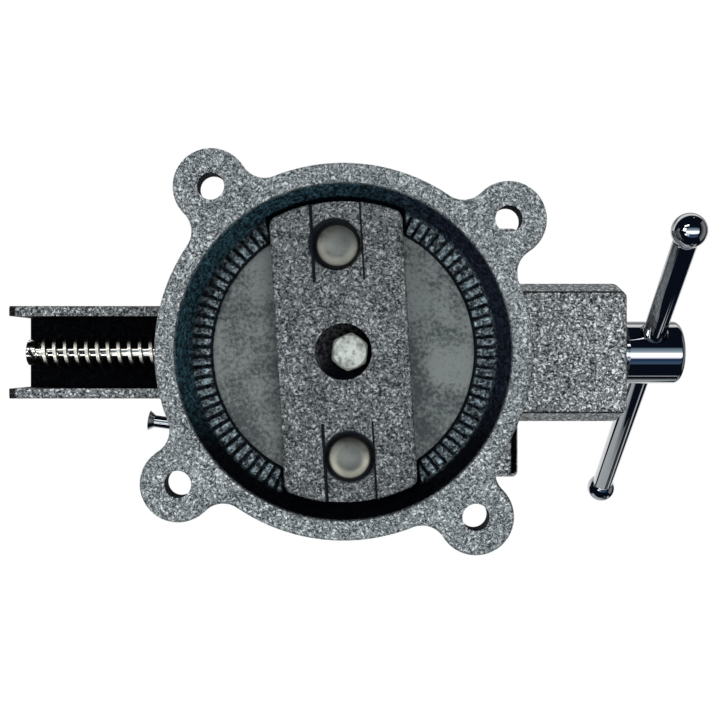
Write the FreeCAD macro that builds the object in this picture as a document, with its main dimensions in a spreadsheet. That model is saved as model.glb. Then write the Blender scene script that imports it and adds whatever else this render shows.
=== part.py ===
import FreeCAD, Part
import math
import os
from types import SimpleNamespace

from Sketcher import Constraint

# Bolt-down bench vise on a swivel base, 147 mm jaws, closed, lying as it stands on a bench.
# Millimetres. Origin: centre of the base's bottom face. +X runs along the slide to the
# screw's handle, +Z up. The swivel line through the two lock bolts is turned a few degrees.

doc = FreeCAD.newDocument("BenchVise")
sheet = doc.addObject("Spreadsheet::Sheet", "Dimensions")

drivingDimensions = [
    # swivel base
    ("ringRadius", 90.2, "outer radius of the base ring"),
    ("ringFootRadius", 80.9, "inner radius of the ring's bearing foot"),
    ("cavityRadius", 74.0, "inner radius of the cavity under the lip"),
    ("lipBoreRadius", 65.0, "bore of the lip that the body's spigot turns in"),
    ("lipUnderside", 14.0, "height of the serrated underside of the lip"),
    ("ringShoulderHeight", 13.0, "height where the ring's outside starts to lean in"),
    ("ringTopRadius", 85.5, "outer radius at the top of the ring"),
    ("baseHeight", 26.0, "height of the swivel base"),
    ("lugCentreRadius", 101.1, "distance of the bench bolts from the swivel axis"),
    ("lugRadius", 18.3, "radius of a lug's round end"),
    ("lugThickness", 12.0, "thickness of a lug"),
    ("lugNeckHalfWidth", 12.0, "half the width of the neck that carries a lug"),
    ("lugBlend", 12.0, "radius of the web between lug and ring"),
    ("benchHoleRadius", 6.5, "radius of a bench bolt hole"),
    ("toothDepth", 1.6, "depth of the swivel lock's serrations"),
    ("toothGap", 2.2, "width of one serration at the mouth"),
    # body casting
    ("swivelClearance", 0.3, "gap between body and base all round"),
    ("spigotBottom", 17.5, "height of the machined disc seen inside the base"),
    ("flangeRadius", 82.0, "radius of the body's flange"),
    ("flangeThickness", 11.7, "thickness of the flange"),
    ("housingHalfWidth", 34.0, "half the width of the slide housing"),
    ("housingRear", 75.0, "distance of the housing's rear end behind the axis"),
    ("housingFront", 70.0, "distance of the housing's front end before the axis"),
    ("housingFootInset", 13.0, "how far the housing draws in at its foot"),
    ("housingShoulder", 62.0, "height where the housing is at its full length"),
    ("roofThickness", 12.0, "thickness of the roof over the slide"),
    ("slideFit", 0.35, "gap between slide and housing"),
    ("anvilRear", 98.0, "distance of the anvil's rear edge behind the axis"),
    ("anvilLength", 54.0, "length of the anvil's flat top"),
    ("anvilHeight", 141.0, "height of the anvil's flat top"),
    ("anvilHalfWidth", 29.0, "half the width of the anvil"),
    ("anvilLip", 14.0, "thickness of the anvil's overhang"),
    ("jawHalfWidth", 73.5, "half the width of the jaws"),
    ("jawUnderside", 112.0, "height of the underside of the jaw castings"),
    ("jawTop", 178.0, "height of the top of the jaws"),
    ("jawMeeting", 76.0, "distance of the closed jaws from the swivel axis"),
    ("jawWingThickness", 22.0, "thickness of a jaw casting at its ends"),
    ("fixedJawDepth", 62.0, "length of the fixed jaw along the slide"),
    ("fixedJawLean", 20.0, "how far the fixed jaw's back leans forward"),
    ("castingEdge", 3.0, "rounding of a jaw casting's outer edges"),
    ("cornerRounding", 5.0, "rounding of the castings' upright corners"),
    ("fineEdge", 1.5, "rounding of the castings' smaller edges"),
    # jaw inserts
    ("insertThickness", 8.0, "thickness of a jaw insert"),
    ("insertHeight", 28.0, "height of a jaw insert"),
    ("insertProud", 3.0, "how far an insert stands out of its casting"),
    ("jawGap", 0.4, "gap between the closed inserts"),
    ("insertScrewSpacing", 96.0, "distance between an insert's two screws"),
    ("insertScrewRadius", 3.2, "shank radius of an insert screw"),
    ("insertHeadRadius", 5.4, "head radius of an insert screw"),
    ("insertHeadHeight", 5.0, "head height of an insert screw"),
    ("insertScrewLength", 14.0, "length of an insert screw in the casting"),
    ("insertHeadGap", 0.6, "radial gap round an insert screw's head"),
    ("gripPitch", 4.0, "pitch of the inserts' crossed grooves"),
    ("gripDepth", 0.9, "depth of the inserts' crossed grooves"),
    # slide and movable jaw
    ("slideHalfWidth", 25.25, "half the width of the slide"),
    ("slideBottom", 68.0, "height of the slide's open underside"),
    ("slideTop", 112.0, "height of the slide's top"),
    ("slideWall", 5.5, "thickness of the slide's side walls"),
    ("slideWeb", 8.0, "thickness of the slide's top"),
    ("slideRear", 182.6, "distance of the slide's open end behind the axis"),
    ("noseFront", 154.5, "distance of the nose's front face"),
    ("noseHalfWidth", 33.0, "half the width of the nose's underside"),
    ("noseFlare", 5.5, "how much wider the nose is at each side higher up"),
    ("noseFlareHeight", 85.0, "height where the nose is at its widest"),
    ("noseCrown", 137.0, "height of the nose's top behind the jaw"),
    ("noseCrownHalfWidth", 30.0, "half the width of the nose's top"),
    ("noseTipHeight", 117.0, "height of the nose's top at its front"),
    ("noseFloor", 6.0, "thickness of the nose's closed underside"),
    ("noseWall", 14.0, "thickness of the nose's front wall"),
    ("webDrop", 12.0, "how far the web behind the jaw falls along the nose"),
    # screw, nut and handle
    ("screwHeight", 91.0, "height of the screw's axis"),
    ("threadRadius", 8.0, "outer radius of the main thread"),
    ("threadRootRadius", 5.6, "root radius of the main thread"),
    ("threadPitch", 6.0, "pitch of the main thread"),
    ("threadLength", 202.0, "length of the main thread"),
    ("screwTipLength", 7.0, "length of the plain end of the screw"),
    ("screwTipRadius", 7.2, "radius of the plain end of the screw"),
    ("screwEndInset", 3.8, "how far the screw's end lies inside the slide"),
    ("runningFit", 0.08, "radial clearance of turning and sliding pins"),
    ("hubRadius", 17.6, "radius of the screw's head"),
    ("hubBack", 157.0, "distance of the hub's inner face"),
    ("hubFront", 188.2, "distance of the hub's outer face"),
    ("hubRounding", 3.5, "rounding of the hub's edges"),
    ("crossHoleStation", 171.2, "distance of the handle's hole"),
    ("crossHoleChamfer", 1.3, "chamfer of the handle's hole"),
    ("thrustGap", 0.3, "gap between thrust washer and nose"),
    ("thrustRadius", 14.5, "radius of the thrust washer"),
    ("collarRadius", 12.2, "radius of the collar behind the front wall"),
    ("collarLength", 10.0, "length of the collar"),
    ("collarPinRadius", 2.0, "radius of the collar's pin"),
    ("nutLength", 40.0, "length of the main nut"),
    ("nutRadius", 12.4, "outer radius of the main nut's barrel"),
    ("nutHalfWidth", 15.0, "half the width of the main nut's foot"),
    ("nutStation", 2.9, "distance of the nut and its bolt from the axis"),
    ("nutBoltRadius", 5.0, "shank radius of the nut's bolt"),
    ("nutBoltHeadFlats", 17.0, "width across flats of the nut's bolt"),
    ("nutBoltHeadHeight", 6.4, "head height of the nut's bolt"),
    ("nutBoltGrip", 11.0, "length of the bolt inside the nut"),
    ("counterboreRadius", 15.5, "radius of the recess round that bolt"),
    ("counterboreDepth", 8.0, "depth of the recess round that bolt"),
    ("washerThickness", 2.2, "thickness of the bolt's washer"),
    ("washerRadius", 9.0, "radius of the bolt's washer"),
    ("handleRadius", 6.25, "radius of the handle bar"),
    ("handleShort", 93.3, "hub to lower ball, centre to centre"),
    ("handleLong", 141.0, "hub to upper ball, centre to centre"),
    ("ballRadius", 8.9, "radius of a handle ball"),
    ("ballSpigotRadius", 4.5, "radius of the bar's end inside a ball"),
    # swivel lock
    ("clampRadius", 72.8, "radius of the clamp bar's round ends"),
    ("clampHalfWidth", 32.1, "half the width of the clamp bar"),
    ("clampBottom", 4.5, "height of the clamp bar's underside"),
    ("clampTop", 13.0, "height of the clamp bar's serrated top"),
    ("clampHoleRadius", 13.7, "radius of the clamp bar's middle hole"),
    ("clampRounding", 5.0, "rounding of the clamp bar's corners"),
    ("clampEdge", 1.2, "rounding of the clamp bar's lower edges"),
    ("rampHalfWidth", 12.0, "half the width of the sloping channels"),
    ("rampStart", 33.5, "where the sloping channels start, from the middle"),
    ("rampDepth", 4.2, "depth of the sloping channels at the bar's ends"),
    ("boltSeatRadius", 12.3, "radius of the recess round a bolt head"),
    ("boltSeatDepth", 5.0, "depth of the recess round a bolt head"),
    ("lockBoltReach", 51.4, "distance of the lock bolts from the axis"),
    ("lockBoltRadius", 5.0, "shank radius of a lock bolt"),
    ("lockHeadRadius", 10.6, "head radius of a lock bolt"),
    ("lockHeadRim", 1.6, "height of a lock bolt head's rim"),
    ("lockHeadDome", 3.6, "height of a lock bolt head's dome"),
    ("lockBoltEnd", 54.5, "height of the upper end of a lock bolt"),
    ("neckGap", 0.4, "gap round the square neck of a lock bolt"),
    ("boltHoleGap", 0.6, "gap round the lock bolts in the body"),
    ("boltEndRoom", 1.2, "room past a lock bolt's end inside its nut"),
    ("lockWasherRadius", 12.5, "radius of a lock nut's washer"),
    ("lockWasherThickness", 2.5, "thickness of a lock nut's washer"),
    ("lockNutSkirtRadius", 11.0, "radius of a lock nut's skirt"),
    ("lockNutSkirt", 8.0, "height of a lock nut's skirt"),
    ("lockNutRadius", 8.7, "radius of a lock nut's barrel"),
    ("lockNutBevel", 2.0, "bevel at a lock nut's crown and skirt"),
    ("lockNutTop", 69.0, "height of the top of a lock nut"),
    ("lockNutGap", 0.1, "gap between lock nut and washer"),
    ("lockBarHeight", 60.0, "height of the lock bars"),
    ("lockBarRadius", 3.25, "radius of a lock bar"),
    ("lockBarLength", 120.5, "length of a lock bar"),
    ("lockBarFlare", 5.25, "radius of a lock bar's upset end"),
    ("lockBarFlareLength", 3.0, "length of a lock bar's upset end"),
    ("rightBarReach", 108.5, "how far the right bar reaches from its nut"),
    ("leftBarReach", 105.0, "how far the left bar reaches from its nut"),
    # shared
    ("overrun", 2.0, "how far a cut runs past what it cuts"),
    ("lugTurn", 51.3, "direction of the first lug, degrees"),
    ("lockLineTurn", 3.3, "turn of the line through the lock bolts, degrees"),
    ("handleTurn", 50.0, "slope of the handle from level, degrees"),
    ("rightBarTurn", 187.8, "direction of the right lock bar, degrees"),
    ("leftBarTurn", 353.7, "direction of the left lock bar, degrees"),
    ("hexTurn", 36.0, "direction of a corner of the bolt head, degrees"),
    ("hexHalfSide", 30.0, "half the angle that a hexagon's side spans, degrees"),
    ("lugCount", 4, "lugs round the ring"),
    ("toothCount", 88, "serrations round the lip"),
    ("clampTeeth", 9, "serrations on each end of the clamp bar"),
]


class Size:
    """A number together with the sheet expression that it comes from."""

    def __init__(self, value, text):
        self.value = value
        self.text = text

    def joined(self, other, sign, value, swap=False):
        left, right = (other, self) if swap else (self, other)
        return Size(value, "(" + textOf(left) + " " + sign + " " + textOf(right) + ")")

    def __add__(self, other):
        return self.joined(other, "+", self.value + valueOf(other))

    def __radd__(self, other):
        return self.joined(other, "+", self.value + valueOf(other), swap=True)

    def __sub__(self, other):
        return self.joined(other, "-", self.value - valueOf(other))

    def __rsub__(self, other):
        return self.joined(other, "-", valueOf(other) - self.value, swap=True)

    def __mul__(self, other):
        return self.joined(other, "*", self.value * valueOf(other))

    def __rmul__(self, other):
        return self.joined(other, "*", self.value * valueOf(other), swap=True)

    def __truediv__(self, other):
        return self.joined(other, "/", self.value / valueOf(other))

    def __neg__(self):
        return Size(-self.value, "(0 - " + self.text + ")")


def valueOf(thing):
    return thing.value if isinstance(thing, Size) else thing


def textOf(thing):
    return thing.text if isinstance(thing, Size) else repr(thing)


def cosine(angle):
    return Size(math.cos(math.radians(angle.value)), "cos(" + angle.text + " * 1 deg)")


def sine(angle):
    return Size(math.sin(math.radians(angle.value)), "sin(" + angle.text + " * 1 deg)")


for row, (alias, number, note) in enumerate(drivingDimensions, start=1):
    sheet.set("A" + str(row), note)
    sheet.set("B" + str(row), str(number))
    sheet.setAlias("B" + str(row), alias)
doc.recompute()
size = SimpleNamespace(**{a: Size(float(v), "Dimensions." + a) for a, v, note in drivingDimensions})

origin = FreeCAD.Vector(0, 0, 0)
xAxis = FreeCAD.Vector(1, 0, 0)
yAxis = FreeCAD.Vector(0, 1, 0)
zAxis = FreeCAD.Vector(0, 0, 1)
noTurn = FreeCAD.Rotation()
fullTurn = 360
alongX = FreeCAD.Rotation(yAxis, 90)
alongY = FreeCAD.Rotation(xAxis, -90)


def bind(thing, prop, amount):
    """Tie a property of an object to the sheet."""
    if isinstance(amount, Size):
        thing.setExpression(prop, amount.text)
    else:
        thing.setExpression(prop, None)


def place(thing, at=(0, 0, 0), turn=noTurn):
    """Turn an object, then tie its place to the sheet."""
    base = FreeCAD.Vector(*[valueOf(a) for a in at])
    thing.Placement = FreeCAD.Placement(base, turn)
    for axis, amount in zip("xyz", at):
        bind(thing, "Placement.Base." + axis, amount)
    return thing


def primitive(kind, label, sizes, at=(0, 0, 0), turn=noTurn):
    """A Part primitive with its sizes and its place tied to the sheet."""
    thing = doc.addObject("Part::" + kind, label)
    for prop, amount in sizes.items():
        setattr(thing, prop, valueOf(amount))
        bind(thing, prop, amount)
    return place(thing, at, turn)


def rod(label, radius, length, at=(0, 0, 0), turn=noTurn):
    return primitive("Cylinder", label, {"Radius": radius, "Height": length}, at, turn)


def cone(label, low, high, length, at=(0, 0, 0), turn=noTurn):
    sizes = {"Radius1": low, "Radius2": high, "Height": length}
    return primitive("Cone", label, sizes, at, turn)


def block(label, sizes, at=(0, 0, 0), turn=noTurn):
    return primitive("Box", label, dict(zip(("Length", "Width", "Height"), sizes)), at, turn)


def combine(kind, label, base, *tools):
    """Cut, fuse or keep the common part of a base with one tool after another."""
    for number, tool in enumerate(tools, start=1):
        name = label if number == len(tools) else label + "Step" + str(number)
        step = doc.addObject("Part::" + kind, name)
        step.Base = base
        step.Tool = tool
        base = step
    return base


def newBody(label):
    return doc.addObject("PartDesign::Body", label)


def datum(body, role):
    return [f for f in body.Origin.OriginFeatures if f.Role == role][0]


def newSketch(body, name, plane, lift=0, turn=noTurn):
    """A sketch on one of the body's own planes, lifted off it by a size from the sheet."""
    sketch = body.newObject("Sketcher::SketchObject", name)
    sketch.AttachmentSupport = [(datum(body, plane), "")]
    sketch.MapMode = "FlatFace"
    offset = FreeCAD.Vector(0, 0, valueOf(lift))
    sketch.AttachmentOffset = FreeCAD.Placement(offset, turn)
    bind(sketch, "AttachmentOffset.Base.z", lift)
    return sketch


def pinPoint(sketch, geometry, spot, x, y):
    """Tie one point of a sketch to its place, measured from the sketch's origin."""
    for kind, axis, amount in (("DistanceX", -2, x), ("DistanceY", -1, y)):
        if valueOf(amount) == 0:
            sketch.addConstraint(Constraint("PointOnObject", geometry, spot, axis))
            continue
        at = sketch.addConstraint(Constraint(kind, -1, 1, geometry, spot, valueOf(amount)))
        if isinstance(amount, Size):
            sketch.setExpression("Constraints[" + str(at) + "]", amount.text)


def polygon(sketch, points):
    """A closed outline of straight lines, with every corner tied to the sheet."""
    corners = [FreeCAD.Vector(valueOf(x), valueOf(y), 0) for x, y in points]
    first = sketch.GeometryCount
    last = len(points) - 1
    for n, corner in enumerate(corners):
        sketch.addGeometry(Part.LineSegment(corner, corners[n + 1 if n < last else 0]))
    for n in range(len(points)):
        follower = first + (n + 1 if n < last else 0)
        sketch.addConstraint(Constraint("Coincident", first + n, 2, follower, 1))
    for n, (x, y) in enumerate(points):
        pinPoint(sketch, first + n, 1, x, y)
    return sketch


def rectangle(sketch, low, high):
    return polygon(sketch, [low, (high[0], low[1]), high, (low[0], high[1])])


def circle(sketch, x, y, radius):
    """A circle with its centre and radius tied to the sheet."""
    centre = FreeCAD.Vector(valueOf(x), valueOf(y), 0)
    drawn = sketch.addGeometry(Part.Circle(centre, zAxis, valueOf(radius)))
    pinPoint(sketch, drawn, 3, x, y)
    at = sketch.addConstraint(Constraint("Radius", drawn, valueOf(radius)))
    sketch.setExpression("Constraints[" + str(at) + "]", radius.text)
    return sketch


def extrude(body, kind, name, sketch, length, backwards=False, both=False):
    """Pad or Pocket a sketch; a cut has to take something away."""
    before = body.Shape.Volume if kind == "Pocket" else 0
    feature = body.newObject("PartDesign::" + kind, name)
    feature.Profile = sketch
    feature.Length = valueOf(length)
    bind(feature, "Length", length)
    feature.Reversed = backwards
    feature.SideType = "Symmetric" if both else "One side"
    doc.recompute()
    if kind == "Pocket" and body.Shape.Volume >= before:
        raise ValueError(name + " cuts nothing")
    return feature


def pad(body, name, sketch, length, **ways):
    return extrude(body, "Pad", name, sketch, length, **ways)


def pocket(body, name, sketch, length, **ways):
    return extrude(body, "Pocket", name, sketch, length, **ways)


def revolve(body, name, sketch, axis):
    feature = body.newObject("PartDesign::Revolution", name)
    feature.Profile = sketch
    feature.ReferenceAxis = (datum(body, axis), [""])
    feature.Angle = fullTurn
    doc.recompute()
    return feature


def polarPattern(body, name, original, axis, angle, count):
    """Repeat a feature round one of the body's axes."""
    feature = body.newObject("PartDesign::PolarPattern", name)
    feature.Originals = [original]
    feature.Axis = (datum(body, axis), [""])
    feature.Angle = valueOf(angle)
    feature.Occurrences = int(valueOf(count))
    bind(feature, "Occurrences", count)
    body.Tip = feature
    doc.recompute()
    return feature


def linearPattern(body, name, original, axis, length, count):
    """Repeat a feature along one of the body's axes; length spans the first to the last."""
    feature = body.newObject("PartDesign::LinearPattern", name)
    feature.Originals = [original]
    feature.Direction = (datum(body, axis), [""])
    feature.Length = valueOf(length)
    bind(feature, "Length", length)
    feature.Occurrences = count
    body.Tip = feature
    doc.recompute()
    return feature


def dress(body, kind, name, amount, wanted):
    """Fillet or Chamfer every edge of the body that the test picks."""
    doc.recompute()
    base = body.Tip
    edges = ["Edge" + str(n) for n, edge in enumerate(base.Shape.Edges, start=1) if wanted(edge)]
    if not edges:
        raise ValueError(name + " finds no edge")
    feature = body.newObject("PartDesign::" + kind, name)
    feature.Base = (base, edges)
    prop = "Radius" if kind == "Fillet" else "Size"
    setattr(feature, prop, valueOf(amount))
    bind(feature, prop, amount)
    doc.recompute()
    return feature


near = 1e-4


def isStraight(edge, direction):
    """True for a straight edge along a direction."""
    if not isinstance(edge.Curve, Part.Line):
        return False
    return abs(abs(edge.Curve.Direction.dot(direction)) - 1) < near


def lies(edge, axis, amount):
    """True for an edge that lies wholly at one height, width or depth."""
    places = [getattr(vertex.Point, axis) for vertex in edge.Vertexes]
    return all(abs(place - valueOf(amount)) < near for place in places)


def widest(edge):
    """How far an edge reaches from the swivel axis."""
    return max(math.hypot(vertex.Point.x, vertex.Point.y) for vertex in edge.Vertexes)


def isHoleRim(edge, radius):
    """True for a circle of just this radius."""
    return isinstance(edge.Curve, Part.Circle) and abs(edge.Curve.Radius - radius.value) < near


s = size
flangeBottom = s.baseHeight + s.swivelClearance
flangeTop = flangeBottom + s.flangeThickness
tunnelFloor = s.slideBottom - s.slideFit
tunnelTop = s.slideTop + s.slideFit
tunnelHalfWidth = s.slideHalfWidth + s.slideFit
housingTop = tunnelTop + s.roofThickness
insertBottom = s.jawTop - s.insertHeight
insertSeatDepth = s.insertThickness - s.insertProud
fixedSeat = s.jawMeeting - s.insertThickness
fixedJawFront = s.jawMeeting - s.insertProud
movingFace = s.jawMeeting + s.jawGap
movingJawBack = movingFace + s.insertProud
movingSeat = movingFace + s.insertThickness
movingJawFront = movingJawBack + s.jawWingThickness
channelHalfWidth = s.slideHalfWidth - s.slideWall
channelTop = s.slideTop - s.slideWeb
noseInside = s.noseFront - s.noseWall
rightBoltX = s.lockBoltReach * sine(s.lockLineTurn)
rightBoltY = s.lockBoltReach * cosine(s.lockLineTurn)
lockBolts = {"left": (-rightBoltX, -rightBoltY), "right": (rightBoltX, rightBoltY)}
counterboreTop = s.spigotBottom + s.counterboreDepth
seatedHead = s.clampBottom + s.boltSeatDepth


def swivelBase():
    """The ring on the bench: a lip to carry the body, serrations under it, four lugs."""
    body = newBody("swivel_base")
    profile = newSketch(body, "ringProfile", "XZ_Plane")
    points = [
        (s.ringFootRadius, 0),
        (s.ringRadius, 0),
        (s.ringRadius, s.ringShoulderHeight),
        (s.ringTopRadius, s.baseHeight),
        (s.lipBoreRadius, s.baseHeight),
        (s.lipBoreRadius, s.lipUnderside),
        (s.cavityRadius, s.lipUnderside),
    ]
    revolve(body, "ring", polygon(profile, points), "Z_Axis")
    neckOutline = newSketch(body, "neckOutline", "XY_Plane")
    rectangle(
        neckOutline, (s.ringFootRadius + s.overrun, -s.lugNeckHalfWidth),
        (s.lugCentreRadius, s.lugNeckHalfWidth),
    )
    neck = pad(body, "neck", neckOutline, s.lugThickness)
    polarPattern(body, "necks", neck, "Z_Axis", fullTurn, s.lugCount)
    lugs = newSketch(body, "lugOutline", "XY_Plane")
    circle(lugs, s.lugCentreRadius, 0, s.lugRadius)
    lug = pad(body, "lug", lugs, s.lugThickness)
    polarPattern(body, "lugs", lug, "Z_Axis", fullTurn, s.lugCount)
    dress(
        body, "Fillet", "lugWebs", s.lugBlend,
        lambda e: isStraight(e, zAxis) and abs(e.Length - s.lugThickness.value) < near
        and abs(widest(e) - s.ringRadius.value) < near,
    )
    bolts = newSketch(body, "benchHole", "XY_Plane")
    circle(bolts, s.lugCentreRadius, 0, s.benchHoleRadius)
    hole = pocket(body, "hole", bolts, s.lugThickness + s.overrun, backwards=True)
    polarPattern(body, "holes", hole, "Z_Axis", fullTurn, s.lugCount)
    tooth = newSketch(body, "toothOutline", "YZ_Plane", s.lipBoreRadius - s.overrun)
    polygon(tooth, [
        (-s.toothGap / 2, s.lipUnderside),
        (s.toothGap / 2, s.lipUnderside),
        (0, s.lipUnderside + s.toothDepth),
    ])
    reach = s.cavityRadius - s.lipBoreRadius + s.overrun
    groove = pocket(body, "tooth", tooth, reach, backwards=True)
    polarPattern(body, "teeth", groove, "Z_Axis", fullTurn, s.toothCount)
    dress(
        body, "Fillet", "ringEdges", s.fineEdge,
        lambda e: any(lies(e, "z", level) for level in (0, s.ringShoulderHeight, s.baseHeight))
        and widest(e) > s.ringTopRadius.value - near
        and not isHoleRim(e, s.benchHoleRadius),
    )
    place(body, turn=FreeCAD.Rotation(zAxis, s.lugTurn.value))
    return [body]


def viseBody():
    """The main casting: spigot and flange, slide housing, anvil and fixed jaw."""
    body = newBody("vise_body")
    spigotRadius = s.lipBoreRadius - s.swivelClearance
    profile = newSketch(body, "flangeProfile", "XZ_Plane")
    points = [
        (0, s.spigotBottom),
        (spigotRadius, s.spigotBottom),
        (spigotRadius, flangeBottom),
        (s.flangeRadius, flangeBottom),
        (s.flangeRadius, flangeTop),
        (0, flangeTop),
    ]
    revolve(body, "flange", polygon(profile, points), "Z_Axis")
    dress(body, "Fillet", "flangeEdge", s.castingEdge, lambda e: lies(e, "z", flangeTop))
    housing = newSketch(body, "housingSide", "XZ_Plane")
    polygon(housing, [
        (-s.housingRear + s.housingFootInset, flangeBottom + s.castingEdge),
        (s.housingFront - s.housingFootInset, flangeBottom + s.castingEdge),
        (s.housingFront - s.housingFootInset, flangeTop + s.castingEdge),
        (s.housingFront, s.housingShoulder),
        (s.housingFront, housingTop),
        (-s.housingRear, housingTop),
        (-s.housingRear, s.housingShoulder),
        (-s.housingRear + s.housingFootInset, flangeTop + s.castingEdge),
    ])
    pad(body, "housing", housing, s.housingHalfWidth * 2, both=True)
    dress(
        body, "Fillet", "housingEdges", s.cornerRounding,
        lambda e: (lies(e, "y", s.housingHalfWidth) or lies(e, "y", -s.housingHalfWidth))
        and e.CenterOfMass.z > (flangeTop + s.castingEdge).value + near,
    )
    anvil = newSketch(body, "anvilSide", "XZ_Plane")
    anvilFront = -s.anvilRear + s.anvilLength
    polygon(anvil, [
        (-s.anvilRear, s.anvilHeight),
        (-s.anvilRear, s.anvilHeight - s.anvilLip),
        (-s.housingRear, s.jawUnderside - s.anvilLip / 2),
        (anvilFront + s.anvilLip, s.jawUnderside),
        (anvilFront + s.anvilLip, housingTop),
        (anvilFront, s.anvilHeight),
    ])
    pad(body, "anvil", anvil, s.anvilHalfWidth * 2, both=True)
    dress(
        body, "Fillet", "anvilEdges", s.fineEdge,
        lambda e: (lies(e, "y", s.anvilHalfWidth) or lies(e, "y", -s.anvilHalfWidth))
        and (e.CenterOfMass.z > s.anvilHeight.value - near
             or e.CenterOfMass.x < -s.housingRear.value - near),
    )
    jaw = newSketch(body, "fixedJawFront", "YZ_Plane", fixedJawFront)
    rectangle(jaw, (-s.jawHalfWidth, s.jawUnderside), (s.jawHalfWidth, s.jawTop))
    pad(body, "fixedJaw", jaw, s.fixedJawDepth, backwards=True)
    jawRear = fixedJawFront - s.fixedJawDepth
    wingRear = fixedJawFront - s.jawWingThickness
    flanks = newSketch(body, "jawFlanks", "XY_Plane", s.jawTop + s.overrun)
    for side in (1, -1):
        polygon(flanks, [
            (jawRear - s.overrun, s.housingHalfWidth * side),
            (jawRear, s.housingHalfWidth * side),
            (wingRear, s.jawHalfWidth * side),
            (wingRear, (s.jawHalfWidth + s.overrun) * side),
            (jawRear - s.overrun, (s.jawHalfWidth + s.overrun) * side),
        ])
    jawHeight = s.jawTop - s.jawUnderside
    pocket(body, "flankCut", flanks, jawHeight + s.overrun * 2)
    back = newSketch(body, "jawBack", "XZ_Plane")
    polygon(back, [
        (jawRear - s.overrun, housingTop),
        (jawRear, housingTop),
        (jawRear + s.fixedJawLean, s.jawTop + s.overrun),
        (jawRear - s.overrun, s.jawTop + s.overrun),
    ])
    pocket(body, "backCut", back, s.jawHalfWidth * 2 + s.overrun, both=True)
    dress(
        body, "Fillet", "jawCorners", s.cornerRounding,
        lambda e: isStraight(e, zAxis) and lies(e, "x", wingRear),
    )
    dress(
        body, "Fillet", "jawEdges", s.castingEdge,
        lambda e: lies(e, "z", s.jawTop) and not lies(e, "x", fixedJawFront),
    )
    seat = newSketch(body, "insertSeat", "YZ_Plane", fixedJawFront)
    wide = s.jawHalfWidth + s.overrun
    rectangle(seat, (-wide, insertBottom), (wide, s.jawTop + s.overrun))
    pocket(body, "seatCut", seat, insertSeatDepth)
    tunnel = newSketch(body, "tunnelEnd", "YZ_Plane", fixedJawFront + s.overrun)
    rectangle(tunnel, (-tunnelHalfWidth, tunnelFloor), (tunnelHalfWidth, tunnelTop))
    pocket(body, "tunnel", tunnel, fixedJawFront + s.anvilRear + s.overrun * 2)
    holes = newSketch(body, "boltHoles", "XY_Plane", s.spigotBottom - s.overrun)
    for x, y in lockBolts.values():
        circle(holes, x, y, s.lockBoltRadius + s.boltHoleGap)
    through = flangeTop - s.spigotBottom + s.overrun * 2
    pocket(body, "lockBoltHoles", holes, through, backwards=True)
    recess = newSketch(body, "nutBoltRecess", "XY_Plane", s.spigotBottom - s.overrun)
    circle(recess, s.nutStation, 0, s.counterboreRadius)
    pocket(body, "counterbore", recess, s.counterboreDepth + s.overrun, backwards=True)
    bore = newSketch(body, "nutBoltHole", "XY_Plane", s.spigotBottom - s.overrun)
    circle(bore, s.nutStation, 0, s.nutBoltRadius + s.neckGap)
    deep = tunnelFloor - s.spigotBottom + s.overrun * 2
    pocket(body, "nutBoltBore", bore, deep, backwards=True)
    screws = newSketch(body, "insertScrewHoles", "YZ_Plane", fixedJawFront)
    for side in (1, -1):
        middle = insertBottom + s.insertHeight / 2
        circle(screws, s.insertScrewSpacing * side / 2, middle, s.insertScrewRadius)
    pocket(body, "screwHoles", screws, insertSeatDepth + s.insertScrewLength)
    return [body]


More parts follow.
